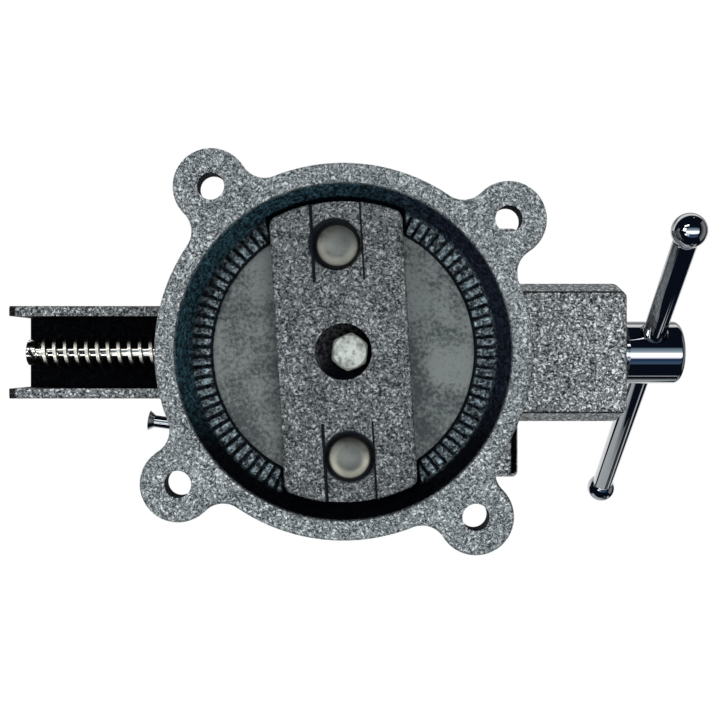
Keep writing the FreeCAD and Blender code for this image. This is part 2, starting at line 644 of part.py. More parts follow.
def movableJaw():
    """The sliding casting: open slide, hollow nose with its front wall, wide jaw head."""
    body = newBody("movable_jaw")
    nose = newSketch(body, "noseEnd", "YZ_Plane", movingJawBack)
    wide = s.noseHalfWidth + s.noseFlare
    polygon(nose, [
        (-s.noseHalfWidth, s.slideBottom),
        (s.noseHalfWidth, s.slideBottom),
        (wide, s.noseFlareHeight),
        (s.noseCrownHalfWidth, s.noseCrown),
        (-s.noseCrownHalfWidth, s.noseCrown),
        (-wide, s.noseFlareHeight),
    ])
    pad(body, "nose", nose, s.noseFront - movingJawBack)
    slope = newSketch(body, "noseSlope", "XZ_Plane")
    polygon(slope, [
        (movingJawFront, s.noseCrown),
        (s.noseFront + s.overrun, s.noseTipHeight),
        (s.noseFront + s.overrun, s.noseCrown + s.overrun),
        (movingJawFront, s.noseCrown + s.overrun),
    ])
    pocket(body, "slopeCut", slope, wide * 2 + s.overrun, both=True)
    dress(
        body, "Fillet", "noseCorners", s.cornerRounding,
        lambda e: all(abs(v.Point.x - s.noseFront.value) < near for v in e.Vertexes)
        and len(e.Vertexes) == 2,
    )
    head = newSketch(body, "headEnd", "YZ_Plane", movingJawBack)
    rectangle(head, (-s.jawHalfWidth, s.jawUnderside), (s.jawHalfWidth, s.jawTop))
    pad(body, "head", head, s.jawWingThickness)
    dress(
        body, "Fillet", "headCorners", s.cornerRounding,
        lambda e: isStraight(e, xAxis) and lies(e, "z", s.jawUnderside)
        and (lies(e, "y", s.jawHalfWidth) or lies(e, "y", -s.jawHalfWidth)),
    )
    dress(
        body, "Fillet", "headEdges", s.castingEdge,
        lambda e: lies(e, "x", movingJawFront)
        and (lies(e, "z", s.jawTop) or lies(e, "z", s.jawUnderside)
             or lies(e, "y", s.jawHalfWidth) or lies(e, "y", -s.jawHalfWidth)),
    )
    web = newSketch(body, "webSide", "XZ_Plane")
    webTop = s.jawTop - s.insertHeight / 2
    polygon(web, [
        (movingJawFront - s.castingEdge, s.noseCrown - s.castingEdge),
        (movingJawFront + s.jawWingThickness, s.noseCrown - s.webDrop),
        (movingJawFront + s.castingEdge, webTop),
        (movingJawFront - s.castingEdge, webTop),
    ])
    pad(body, "web", web, s.noseCrownHalfWidth * 2, both=True)
    slide = newSketch(body, "slideEnd", "YZ_Plane", -s.slideRear)
    rectangle(slide, (-s.slideHalfWidth, s.slideBottom), (s.slideHalfWidth, s.slideTop))
    pad(body, "slide", slide, s.slideRear + movingJawBack + s.overrun)
    dress(
        body, "Fillet", "slideEdges", s.fineEdge,
        lambda e: isStraight(e, xAxis) and e.CenterOfMass.x < 0
        and (lies(e, "y", s.slideHalfWidth) or lies(e, "y", -s.slideHalfWidth)),
    )
    channel = newSketch(body, "channelEnd", "YZ_Plane", -s.slideRear)
    rectangle(
        channel, (-channelHalfWidth, s.slideBottom - s.overrun), (channelHalfWidth, channelTop)
    )
    pocket(body, "channel", channel, s.slideRear + movingJawBack, backwards=True)
    hollow = newSketch(body, "hollowEnd", "YZ_Plane", -s.slideRear)
    rectangle(
        hollow, (-channelHalfWidth, s.slideBottom + s.noseFloor), (channelHalfWidth, channelTop)
    )
    pocket(body, "hollow", hollow, s.slideRear + noseInside, backwards=True)
    bore = newSketch(body, "screwBoreEnd", "YZ_Plane", noseInside - s.overrun)
    circle(bore, 0, s.screwHeight, s.threadRadius + s.runningFit)
    pocket(body, "screwBore", bore, s.noseWall + s.overrun * 2, backwards=True)
    seat = newSketch(body, "insertSeat", "YZ_Plane", movingJawBack)
    past = s.jawHalfWidth + s.overrun
    rectangle(seat, (-past, insertBottom), (past, s.jawTop + s.overrun))
    pocket(body, "seatCut", seat, insertSeatDepth, backwards=True)
    screws = newSketch(body, "insertScrewHoles", "YZ_Plane", movingJawBack)
    for side in (1, -1):
        middle = insertBottom + s.insertHeight / 2
        circle(screws, s.insertScrewSpacing * side / 2, middle, s.insertScrewRadius)
    pocket(body, "screwHoles", screws, insertSeatDepth + s.insertScrewLength, backwards=True)
    return [body]


def jawInsert(label, side):
    """A hardened jaw plate with crossed grooves; side is 1 for the moving jaw."""
    body = newBody(label)
    outline = newSketch(body, "plateOutline", "YZ_Plane")
    half = s.insertHeight / 2
    rectangle(outline, (-s.jawHalfWidth, -half), (s.jawHalfWidth, half))
    pad(body, "plate", outline, s.insertThickness)
    heads = newSketch(body, "headRecess", "YZ_Plane")
    shanks = newSketch(body, "shankHole", "YZ_Plane")
    for end in (1, -1):
        y = s.insertScrewSpacing * end / 2
        circle(heads, y, 0, s.insertHeadRadius + s.insertHeadGap)
        circle(shanks, y, 0, s.insertScrewRadius + s.neckGap)
    pocket(body, "headHoles", heads, s.insertHeadHeight + s.gripDepth, backwards=True)
    pocket(body, "shankHoles", shanks, s.insertThickness, backwards=True)
    groove = newSketch(body, "uprightGroove", "XY_Plane", -half)
    start = -s.jawHalfWidth + s.gripPitch
    polygon(groove, [
        (0, start - s.gripDepth),
        (s.gripDepth, start),
        (0, start + s.gripDepth),
    ])
    upright = pocket(body, "upright", groove, s.insertHeight, backwards=True)
    span = s.jawHalfWidth * 2 - s.gripPitch * 2
    count = int(round(span.value / s.gripPitch.value)) + 1
    linearPattern(body, "uprights", upright, "Y_Axis", span, count)
    level = newSketch(body, "levelGroove", "XZ_Plane")
    low = -half + s.gripPitch
    polygon(level, [
        (0, low - s.gripDepth),
        (s.gripDepth, low),
        (0, low + s.gripDepth),
    ])
    cross = pocket(body, "level", level, s.jawHalfWidth * 2, both=True)
    rise = s.insertHeight - s.gripPitch * 2
    rows = int(round(rise.value / s.gripPitch.value)) + 1
    linearPattern(body, "levels", cross, "Z_Axis", rise, rows)
    middle = insertBottom + half
    if side > 0:
        place(body, (movingFace, 0, middle))
    else:
        place(body, (s.jawMeeting, 0, middle), FreeCAD.Rotation(zAxis, 180))
    return [body]


def insertScrews(label, side):
    """The two socket screws of a jaw plate, head just under the grooved face."""
    screws = []
    for number in (1, -1):
        tag = label + ("A" if number > 0 else "B")
        head = rod(tag + "Head", s.insertHeadRadius, s.insertHeadHeight)
        length = s.insertThickness - s.gripDepth + s.insertScrewLength
        shank = rod(tag + "Shank", s.insertScrewRadius, length)
        socket = primitive(
            "Prism", tag + "Socket",
            {"Circumradius": s.insertScrewRadius, "Height": s.insertHeadHeight / 2},
        )
        screw = combine("Cut", tag, combine("Fuse", tag + "Solid", head, shank), socket)
        y = s.insertScrewSpacing * number / 2
        middle = insertBottom + s.insertHeight / 2
        if side > 0:
            place(screw, (movingFace + s.gripDepth, y, middle), alongX)
        else:
            back = FreeCAD.Rotation(yAxis, -90)
            place(screw, (s.jawMeeting - s.gripDepth, y, middle), back)
        screws.append(screw)
    group = doc.addObject("Part::Compound", label)
    group.Links = screws
    return [group]


grooveMouthShare = 0.39
grooveRootShare = 0.32


def mainScrew():
    """The vise screw: right-hand thread, plain shank, and the hub that takes the handle."""
    body = newBody("main_screw")
    tip = -s.slideRear + s.screwEndInset
    threadStart = tip + s.screwTipLength
    profile = newSketch(body, "shaftProfile", "XZ_Plane")
    polygon(profile, [
        (tip, 0),
        (tip, s.screwTipRadius),
        (threadStart, s.screwTipRadius),
        (threadStart, s.threadRadius),
        (s.hubBack, s.threadRadius),
        (s.hubBack, s.hubRadius),
        (s.hubFront, s.hubRadius),
        (s.hubFront, 0),
    ])
    revolve(body, "shaft", profile, "X_Axis")
    dress(
        body, "Fillet", "hubEdges", s.hubRounding,
        lambda e: lies(e, "x", s.hubFront) and e.BoundBox.ZLength > s.hubRadius.value,
    )
    groove = newSketch(body, "threadGroove", "XZ_Plane")
    mouth = s.threadPitch * grooveMouthShare
    bottom = s.threadPitch * grooveRootShare
    start = threadStart - s.threadPitch / 2
    over = s.threadRadius + s.overrun
    polygon(groove, [
        (start - mouth, over),
        (start - bottom, s.threadRootRadius),
        (start + bottom, s.threadRootRadius),
        (start + mouth, over),
    ])
    thread = body.newObject("PartDesign::SubtractiveHelix", "thread")
    thread.Profile = groove
    thread.ReferenceAxis = (datum(body, "X_Axis"), [""])
    thread.Mode = 0
    thread.Pitch = s.threadPitch.value
    thread.Height = s.threadLength.value
    bind(thread, "Pitch", s.threadPitch)
    bind(thread, "Height", s.threadLength)
    thread.Angle = 0
    doc.recompute()
    lean = FreeCAD.Rotation(xAxis, s.handleTurn.value - 90)
    cross = newSketch(body, "crossHoleOutline", "XY_Plane", 0, lean)
    circle(cross, s.crossHoleStation, 0, s.handleRadius + s.runningFit)
    pocket(body, "crossHole", cross, (s.hubRadius + s.overrun) * 2, both=True)
    dress(
        body, "Chamfer", "crossHoleRim", s.crossHoleChamfer,
        lambda e: not e.Vertexes[0].Point.x < s.hubBack.value
        and abs(e.CenterOfMass.x - s.crossHoleStation.value) < s.handleRadius.value
        and not isStraight(e, lean.multVec(zAxis)),
    )
    pinHole = newSketch(body, "pinHoleOutline", "XY_Plane")
    circle(pinHole, noseInside - s.collarLength / 2 - s.thrustGap, 0, s.collarPinRadius)
    pocket(body, "pinHole", pinHole, (s.threadRadius + s.overrun) * 2, both=True)
    place(body, (0, 0, s.screwHeight))
    return [body]


def screwFittings():
    """The thrust washer under the hub, and the pinned collar behind the nose's wall."""
    innerRadius = s.threadRadius
    washerBack = s.noseFront + s.thrustGap
    disc = rod("thrustDisc", s.thrustRadius, s.hubBack - washerBack)
    hole = rod("thrustHole", innerRadius, s.hubBack - washerBack)
    washer = place(
        combine("Cut", "thrust_washer", disc, hole), (washerBack, 0, s.screwHeight), alongX
    )
    collarStart = noseInside - s.thrustGap - s.collarLength
    collarBody = rod("collarBody", s.collarRadius, s.collarLength)
    collarBore = rod("collarBore", innerRadius, s.collarLength)
    half = s.collarLength / 2
    across = s.collarRadius * 2
    pinHole = rod("collarPinHole", s.collarPinRadius, across, (s.collarRadius, 0, half),
                  FreeCAD.Rotation(yAxis, -90))
    collar = place(
        combine("Cut", "screw_collar", collarBody, collarBore, pinHole),
        (collarStart, 0, s.screwHeight), alongX,
    )
    pin = rod(
        "collar_pin", s.collarPinRadius, across - s.gripDepth,
        (collarStart + half, 0, s.screwHeight - s.collarRadius + s.gripDepth / 2),
    )
    return [washer, collar, pin]


def mainNut():
    """The nut that stands on the tunnel floor inside the slide's channel."""
    start = s.nutStation - s.nutLength / 2
    barrel = rod("nutBarrel", s.nutRadius, s.nutLength, (start, 0, s.screwHeight), alongX)
    foot = block(
        "nutFoot", (s.nutLength, s.nutHalfWidth * 2, s.screwHeight - tunnelFloor),
        (start, -s.nutHalfWidth, tunnelFloor),
    )
    bore = rod(
        "nutBore", s.threadRadius + s.runningFit, s.nutLength, (start, 0, s.screwHeight), alongX
    )
    tapped = rod(
        "nutTapping", s.nutBoltRadius, s.nutBoltGrip + s.runningFit, (s.nutStation, 0, tunnelFloor)
    )
    return [combine("Cut", "main_nut", combine("Fuse", "nutSolid", barrel, foot), bore, tapped)]


headFaceShare = 0.545
headBevelShare = 1.2


def nutBolt():
    """The hexagon bolt that holds the nut from below, with its washer."""
    washerBottom = counterboreTop - s.washerThickness
    headBottom = washerBottom - s.nutBoltHeadHeight
    corner = s.nutBoltHeadFlats / (cosine(s.hexHalfSide) * 2)
    prism = primitive(
        "Prism", "boltHexagon", {"Circumradius": corner, "Height": s.nutBoltHeadHeight},
        (s.nutStation, 0, headBottom), FreeCAD.Rotation(zAxis, s.hexTurn.value),
    )
    bevel = cone(
        "boltBevel", s.nutBoltHeadFlats * headFaceShare, s.nutBoltHeadFlats * headBevelShare,
        s.nutBoltHeadHeight, (s.nutStation, 0, headBottom),
    )
    head = combine("Common", "boltHead", prism, bevel)
    reach = tunnelFloor + s.nutBoltGrip - washerBottom
    shank = rod("boltShank", s.nutBoltRadius, reach, (s.nutStation, 0, washerBottom))
    bolt = combine("Fuse", "nut_bolt", head, shank)
    disc = rod("boltWasherDisc", s.washerRadius, s.washerThickness)
    hole = rod("boltWasherHole", s.nutBoltRadius + s.neckGap / 2, s.washerThickness)
    washer = place(
        combine("Cut", "nut_bolt_washer", disc, hole), (s.nutStation, 0, washerBottom)
    )
    return [bolt, washer]


def clampBar():
    """The bar that pulls up under the lip: round ends, sloping channels, serrated top."""
    body = newBody("clamp_bar")
    ends = newSketch(body, "barRound", "XY_Plane", s.clampBottom)
    circle(ends, 0, 0, s.clampRadius)
    pad(body, "bar", ends, s.clampTop - s.clampBottom)
    sides = newSketch(body, "barSides", "XY_Plane", s.clampBottom - s.overrun)
    far = s.clampRadius + s.overrun
    for side in (1, -1):
        rectangle(sides, (s.clampHalfWidth * side, -far), (far * side, far))
    thick = s.clampTop - s.clampBottom + s.overrun * 2
    pocket(body, "sideCuts", sides, thick, backwards=True)
    dress(body, "Fillet", "barCorners", s.clampRounding, lambda e: isStraight(e, zAxis))
    dress(
        body, "Fillet", "barEdges", s.clampEdge,
        lambda e: lies(e, "z", s.clampBottom),
    )
    ramps = newSketch(body, "rampSide", "YZ_Plane")
    for side in (1, -1):
        polygon(ramps, [
            (s.rampStart * side, s.clampBottom),
            (far * side, s.clampBottom - s.overrun),
            (far * side, s.clampBottom + s.rampDepth),
        ])
    pocket(body, "ramps", ramps, s.rampHalfWidth * 2, both=True)
    seats = newSketch(body, "boltSeats", "XY_Plane", s.clampBottom - s.overrun)
    for side in (1, -1):
        circle(seats, 0, s.lockBoltReach * side, s.boltSeatRadius)
    pocket(body, "seats", seats, s.boltSeatDepth + s.overrun, backwards=True)
    necks = newSketch(body, "neckHoles", "XY_Plane", s.clampBottom - s.overrun)
    half = s.lockBoltRadius + s.neckGap
    for side in (1, -1):
        middle = s.lockBoltReach * side
        rectangle(necks, (-half, middle - half), (half, middle + half))
    pocket(body, "necks", necks, thick, backwards=True)
    middleHole = newSketch(body, "middleHole", "XY_Plane", s.clampBottom - s.overrun)
    circle(middleHole, 0, 0, s.clampHoleRadius)
    pocket(body, "middle", middleHole, thick, backwards=True)
    step = fullTurn / s.toothCount.value
    swing = step * (s.clampTeeth.value - 1)
    for number, plane in enumerate(("upper", "lower")):
        turn = FreeCAD.Rotation(zAxis, 90 - swing / 2 + 180 * number)
        tooth = newSketch(body, plane + "ToothOutline", "XY_Plane", s.clampTop, turn)
        half = s.toothGap / 2
        rectangle(tooth, (s.lipBoreRadius, -half), (s.clampRadius + s.overrun, half))
        first = pocket(body, plane + "Tooth", tooth, s.toothDepth)
        polarPattern(body, plane + "Teeth", first, "Z_Axis", swing, s.clampTeeth)
    place(body, turn=FreeCAD.Rotation(zAxis, -s.lockLineTurn.value))
    return [body]


def lockBolt(label, x, y):
    """A carriage bolt: domed head below the bar, square neck, shank up into its nut."""
    domeRadius = (s.lockHeadRadius * s.lockHeadRadius + s.lockHeadDome * s.lockHeadDome) / (
        s.lockHeadDome * 2
    )
    ball = primitive(
        "Sphere", label + "Ball", {"Radius": domeRadius},
        (0, 0, seatedHead - s.lockHeadRim - s.lockHeadDome + domeRadius),
    )
    bottom = seatedHead - s.lockHeadRim - s.lockHeadDome
    cap = rod(label + "Cap", s.lockHeadRadius, s.lockHeadRim + s.lockHeadDome, (0, 0, bottom))
    head = combine("Common", label + "Head", ball, cap)
    side = s.lockBoltRadius * 2
    turn = FreeCAD.Rotation(zAxis, -s.lockLineTurn.value)
    neck = block(
        label + "Neck", (side, side, s.clampTop - seatedHead),
        (-s.lockBoltRadius, -s.lockBoltRadius, seatedHead),
    )
    shank = rod(
        label + "Shank", s.lockBoltRadius, s.lockBoltEnd - seatedHead, (0, 0, seatedHead)
    )
    return [place(combine("Fuse", label, head, neck, shank), (x, y, 0), turn)]


def lockWashers():
    """The two washers between the lock nuts and the flange."""
    washers = []
    for side, (x, y) in lockBolts.items():
        disc = rod(side + "WasherDisc", s.lockWasherRadius, s.lockWasherThickness)
        hole = rod(
            side + "WasherHole", s.lockBoltRadius + s.boltHoleGap, s.lockWasherThickness
        )
        washers.append(place(combine("Cut", side + "Washer", disc, hole), (x, y, flangeTop)))
    group = doc.addObject("Part::Compound", "lock_washers")
    group.Links = washers
    return [group]


def lockNut(side, x, y, turn):
    """A tall blind nut with a skirt, crossed near its top by the hole for its bar."""
    label = "lock_nut_" + side
    bottom = flangeTop + s.lockWasherThickness + s.lockNutGap
    height = s.lockNutTop - bottom
    skirt = rod(label + "Skirt", s.lockNutSkirtRadius, s.lockNutSkirt, (0, 0, bottom))
    shoulder = cone(
        label + "Shoulder", s.lockNutSkirtRadius, s.lockNutRadius, s.lockNutBevel,
        (0, 0, bottom + s.lockNutSkirt),
    )
    bevel = s.lockNutBevel
    barrel = rod(label + "Barrel", s.lockNutRadius, height - bevel, (0, 0, bottom))
    crown = cone(
        label + "Crown", s.lockNutRadius, s.lockNutRadius - bevel, bevel,
        (0, 0, s.lockNutTop - bevel),
    )
    solid = combine("Fuse", label + "Solid", skirt, shoulder, barrel, crown)
    bore = rod(
        label + "Bore", s.lockBoltRadius + s.runningFit,
        s.lockBoltEnd + s.boltEndRoom - bottom, (0, 0, bottom),
    )
    past = s.lockNutRadius + s.overrun
    cross = rod(
        label + "Cross", s.lockBarRadius + s.runningFit, past * 2,
        (-past, 0, s.lockBarHeight), alongX,
    )
    nut = combine("Cut", label, solid, bore, cross)
    return [place(nut, (x, y, 0), FreeCAD.Rotation(zAxis, turn.value))]


def lockBar(side, x, y, turn, reach):
    """A sliding bar with upset ends, pushed out to one side of its nut."""
    label = "lock_bar_" + side
    start = reach - s.lockBarLength
    flare = s.lockBarFlareLength
    middle = rod(label + "Middle", s.lockBarRadius, s.lockBarLength, (start, 0, 0), alongX)
    inner = cone(
        label + "Inner", s.lockBarFlare, s.lockBarRadius, flare, (start, 0, 0), alongX
    )
    outer = cone(
        label + "Outer", s.lockBarRadius, s.lockBarFlare, flare, (reach - flare, 0, 0), alongX
    )
    bar = combine("Fuse", label, middle, inner, outer)
    return [place(bar, (x, y, s.lockBarHeight), FreeCAD.Rotation(zAxis, turn.value))]


ballSeatShare = 0.8


def handle():
    """The sliding handle through the hub, a ball on each end."""
    turn = FreeCAD.Rotation(xAxis, s.handleTurn.value - 90)
    at = (s.crossHoleStation, 0, s.screwHeight)
    seat = s.ballRadius * ballSeatShare
    reach = s.handleShort + s.handleLong
    middle = rod("barMiddle", s.handleRadius, reach - seat * 2, (0, 0, -s.handleShort + seat))
    spigots = rod("barSpigots", s.ballSpigotRadius, reach, (0, 0, -s.handleShort))
    pieces = [place(combine("Fuse", "handle_bar", middle, spigots), at, turn)]
    barEnd = seat + s.overrun
    for label, centre, spigotStart, barStart in (
        ("handle_ball_lower", -s.handleShort, -s.handleShort, -s.handleShort + seat),
        ("handle_ball_upper", s.handleLong, s.handleLong - seat, s.handleLong - seat - barEnd),
    ):
        ball = primitive("Sphere", label + "Ball", {"Radius": s.ballRadius}, (0, 0, centre))
        spigot = rod(label + "Spigot", s.ballSpigotRadius, seat, (0, 0, spigotStart))
        bar = rod(label + "Bar", s.handleRadius, barEnd, (0, 0, barStart))
        pieces.append(place(combine("Cut", label, ball, spigot, bar), at, turn))
    return pieces


subParts = swivelBase() + viseBody() + movableJaw()
subParts += jawInsert("fixed_jaw_insert", -1) + insertScrews("fixed_jaw_screws", -1)
subParts += jawInsert("movable_jaw_insert", 1) + insertScrews("movable_jaw_screws", 1)
subParts += mainScrew() + screwFittings() + mainNut() + nutBolt() + clampBar()
lockTurns = {"left": (s.leftBarTurn, s.leftBarReach), "right": (s.rightBarTurn, s.rightBarReach)}
for side, (x, y) in lockBolts.items():
    turn, reach = lockTurns[side]
    subParts += lockBolt("lock_bolt_" + side, x, y)
    subParts += lockNut(side, x, y, turn) + lockBar(side, x, y, turn, reach)
subParts += lockWashers() + handle()

doc.recompute()
for thing in doc.Objects:
    if "Invalid" in thing.State or "Error" in thing.State:
        raise ValueError(thing.Label + " failed: " + ", ".join(thing.State))
os.makedirs("parts", exist_ok=True)
for part in subParts:
    if part.Shape.isNull() or not part.Shape.isValid():
        raise ValueError(part.Label + " has no valid shape")
    part.Shape.exportStep(os.path.join("parts", part.Label + ".step"))
    box = part.Shape.BoundBox
    print(part.Label, len(part.Shape.Solids), round(part.Shape.Volume), box)
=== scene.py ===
import math

import bpy
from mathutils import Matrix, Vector

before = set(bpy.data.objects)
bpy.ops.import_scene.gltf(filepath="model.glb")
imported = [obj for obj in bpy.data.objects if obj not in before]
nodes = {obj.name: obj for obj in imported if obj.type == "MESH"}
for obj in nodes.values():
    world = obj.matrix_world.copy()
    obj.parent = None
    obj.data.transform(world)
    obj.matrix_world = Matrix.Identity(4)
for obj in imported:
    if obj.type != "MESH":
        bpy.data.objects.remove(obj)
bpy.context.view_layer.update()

cameraView = {
    "place": (0.0063, 0.0023, -0.476),
    "focalLength": 50.5,  # in mm, as is the sensor's width
    "sensorWidth": 36,
    "nearest": 0.01,
}


# Camera: square on to the underside, as the vise was photographed
def makeCamera(view):
    data = bpy.data.cameras.new("viseCamera")
    data.lens = view["focalLength"]
    data.sensor_width = view["sensorWidth"]
    data.clip_start = view["nearest"]
    camera = bpy.data.objects.new("viseCamera", data)
    camera.location = view["place"]
    camera.rotation_euler = (math.pi, 0, 0)
    bpy.context.scene.collection.objects.link(camera)
    bpy.context.scene.camera = camera


makeCamera(cameraView)
print("camera set")


# Writes the nodes of one tree in few words
class Wiring:
    def __init__(self, tree):
        self.tree = tree

    # In the names of inputs an underscore stands for a space
    def node(self, kind, settings=None, **inputs):
        made = self.tree.nodes.new("ShaderNode" + kind)
        for name, value in (settings or {}).items():
            setattr(made, name, value)
        for name, value in inputs.items():
            self.feed(made.inputs[name.replace("_", " ")], value)
        return made

    def feed(self, socket, value):
        if isinstance(value, bpy.types.NodeSocket):
            self.tree.links.new(value, socket)
        else:
            socket.default_value = value

    def feedAll(self, sockets, values):
        for name, value in values.items():
            self.feed(sockets[name], value)

    def place(self):
        return self.node("TexCoord").outputs["Object"]

    def parts(self):
        return self.node("SeparateXYZ", Vector=self.place()).outputs

    # Noise over the piece's own coordinates, unless a Vector is given
    def noise(self, **settings):
        if "Vector" not in settings:
            settings["Vector"] = self.place()
        return self.node("TexNoise", **settings).outputs["Fac"]

    def math(self, operation, *values, clamp=False):
        made = self.node("Math", {"operation": operation, "use_clamp": clamp})
        for socket, value in zip(made.inputs, values):
            self.feed(socket, value)
        return made.outputs[0]

    def times(self, first, *others):
        for other in others:
            first = self.math("MULTIPLY", first, other)
        return first

    def most(self, first, *others):
        for other in others:
            first = self.math("MAXIMUM", first, other)
        return first

    def minus(self, first, second):
        return self.math("SUBTRACT", first, second)

    # A total with a share of a value added
    def adding(self, total, value, share, clamp=False):
        return self.math("MULTIPLY_ADD", value, share, total, clamp=clamp)

    def absolute(self, value):
        return self.math("ABSOLUTE", value)

    # 1 on the named side of a limit, 0 on the other
    def below(self, value, limit):
        return self.math("LESS_THAN", value, limit)

    def above(self, value, limit):
        return self.math("GREATER_THAN", value, limit)

    # Distance from an axis, of two coordinates measured across it
    def reach(self, first, second):
        squares = [self.math("POWER", value, 2.0) for value in (first, second)]
        return self.math("SQRT", self.math("ADD", *squares))

    # A soft step: first where the value is low, last where it is high
    def spread(self, value, low, high, first=0.0, last=1.0):
        made = self.node("MapRange", {"interpolation_type": "SMOOTHSTEP"}, Value=value,
                         From_Min=low, From_Max=high, To_Min=first, To_Max=last)
        return made.outputs["Result"]

    def ramp(self, factor, stops):
        made = self.node("ValToRGB", Fac=factor)
        band = made.color_ramp
        while len(band.elements) < len(stops):
            band.elements.new(0.5)
        for element, (at, colour) in zip(band.elements, stops):
            element.position = at
            element.color = tuple(colour) + (1,)
        return made.outputs["Color"]

    def mix(self, settings, kind, factor, first, second):
        made = self.node("Mix", settings, Factor=factor)
        for name, value in (("A", first), ("B", second)):
            socket = [i for i in made.inputs if i.name == name and i.type == kind][0]
            self.feed(socket, value)
        return [o for o in made.outputs if o.type == kind][0]

    def mixColour(self, factor, first, second):
        return self.mix({"data_type": "RGBA"}, "RGBA", factor, first, second)

    def timesColour(self, first, second):
        settings = {"data_type": "RGBA", "blend_type": "MULTIPLY"}
        return self.mix(settings, "RGBA", 1.0, first, second)

    def mixValue(self, factor, first, second):
        return self.mix({"data_type": "FLOAT"}, "VALUE", factor, first, second)


# Inputs and outputs give the kind of each socket under its name
def newGroup(name, inputs, outputs):
    tree = bpy.data.node_groups.new(name, "ShaderNodeTree")
    for way, sockets in (("INPUT", inputs), ("OUTPUT", outputs)):
        for label, kind in sockets.items():
            tree.interface.new_socket(label, in_out=way, socket_type="NodeSocket" + kind)
    entry = tree.nodes.new("NodeGroupInput")
    leave = tree.nodes.new("NodeGroupOutput")
    return Wiring(tree), entry.outputs, leave.inputs


def useGroup(w, tree, **values):
    made = w.tree.nodes.new("ShaderNodeGroup")
    made.node_tree = tree
    w.feedAll(made.inputs, values)
    return made.outputs


# Most pairs and fours of numbers, here and below, are what spread takes after its value
hammered = {
    "finer": 2.6,  # how much finer the grain is than the swell
    "swell": {"Detail": 1.0, "Distortion": 1.6},
    "grain": {"Detail": 1.0, "Distortion": 0.6},
    "patch": {"Scale": 32.0, "Detail": 2.0},
    "island": (0.0, 0.09),
    "speck": (0.36, 0.66),
    "shares": {"island": 0.45, "speck": 0.62, "patch": 0.25},
    "middleAt": (0.1, 0.62),
    "paleAt": (0.72, 1.15),
    "flakeAt": (0.3, 1.0),
    "speckHeight": 0.4,
}


# Hammered enamel: worm-like dark lines between grey islands, with pale flecks
def hammeredGroup():
    w, given, out = newGroup(
        "hammeredEnamel",
        {"size": "Float", "pale": "Color", "middle": "Color", "dark": "Color"},
        {"colour": "Color", "height": "Float", "flake": "Float"},
    )
    place, shares = w.place(), hammered["shares"]
    finer = w.times(given["size"], hammered["finer"])
    swell = w.noise(Vector=place, Scale=given["size"], **hammered["swell"])
    grain = w.noise(Vector=place, Scale=finer, **hammered["grain"])
    patch = w.noise(Vector=place, **hammered["patch"])
    island = w.spread(w.absolute(w.minus(swell, 0.5)), *hammered["island"])
    speck = w.spread(grain, *hammered["speck"])
    level = w.adding(w.times(speck, shares["speck"]), island, shares["island"])
    level = w.adding(level, w.minus(patch, 0.5), shares["patch"])
    colour = w.mixColour(w.spread(level, *hammered["middleAt"]), given["dark"], given["middle"])
    w.feedAll(out, {
        "colour": w.mixColour(w.spread(level, *hammered["paleAt"]), colour, given["pale"]),
        "height": w.adding(island, speck, hammered["speckHeight"]),
        "flake": w.spread(level, *hammered["flakeAt"]),
    })
    return w.tree


turned = {
    "rings": {"Scale": 2600.0, "Detail": 2.0},
    "blotch": {"Scale": 38.0, "Detail": 5.0, "Roughness": 0.62},
    "grit": {"Scale": 520.0, "Detail": 3.0, "Roughness": 0.6},
    "shares": {"blotch": 1.7, "grit": 1.1, "rings": 0.3},
    "paleAt": (0.25, 0.75),
    "gritHeight": 0.6,
    "rough": (0.3, 0.7, 0.5, 0.36),
}


# A faced surface: fine rings about one axis, with blotches of old oil
def turnedGroup():
    w, given, out = newGroup(
        "turnedFace",
        {"pale": "Color", "dark": "Color"},
        {"colour": "Color", "height": "Float", "rough": "Float"},
    )
    x, y, z = w.parts()
    line = w.node("CombineXYZ", X=w.reach(x, y)).outputs[0]
    layers = {
        "blotch": w.noise(**turned["blotch"]),
        "grit": w.noise(**turned["grit"]),
        "rings": w.noise(Vector=line, **turned["rings"]),
    }
    level = 0.5
    for name, layer in layers.items():
        level = w.adding(level, w.minus(layer, 0.5), turned["shares"][name])
    w.feedAll(out, {
        "colour": w.mixColour(w.spread(level, *turned["paleAt"]), given["dark"], given["pale"]),
        "height": w.adding(layers["rings"], layers["grit"], turned["gritHeight"]),
        "rough": w.spread(layers["blotch"], *turned["rough"]),
    })
    return w.tree


worn = {
    "film": {"Detail": 5.0, "Roughness": 0.6},
    "speck": {"Scale": 1100.0, "Detail": 2.0},
    "cleanest": 0.72,
    "fade": 0.35,
    "speckAt": (0.55, 0.8),
    "speckShare": 0.25,
}


# Handling marks on bare or plated steel: faint streaks, spots and a film of dirt
def wornGroup():
    w, given, out = newGroup(
        "handlingMarks",
        {"size": "Float", "clean": "Color", "soiledAndShade": "Color", "share": "Float"},
        {"colour": "Color", "height": "Float", "dirt": "Float"},
    )
    film = w.noise(Scale=given["size"], **worn["film"])
    speck = w.noise(**worn["speck"])
    low = w.minus(worn["cleanest"], given["share"])
    dirt = w.spread(film, low, w.math("ADD", low, worn["fade"]))
    spots = w.spread(speck, *worn["speckAt"])
    dirt = w.adding(dirt, spots, worn["speckShare"], clamp=True)
    w.feedAll(out, {
        "colour": w.mixColour(dirt, given["clean"], given["soiledAndShade"]),
        "height": w.math("ADD", film, speck),
        "dirt": dirt,
    })
    return w.tree


groups = {"hammered": hammeredGroup(), "turned": turnedGroup(), "worn": wornGroup()}
print("shared effects ready")


def newMaterial(name):
    material = bpy.data.materials.new(name)
    material.use_nodes = True
    tree = material.node_tree
    return material, Wiring(tree), tree.nodes["Principled BSDF"]


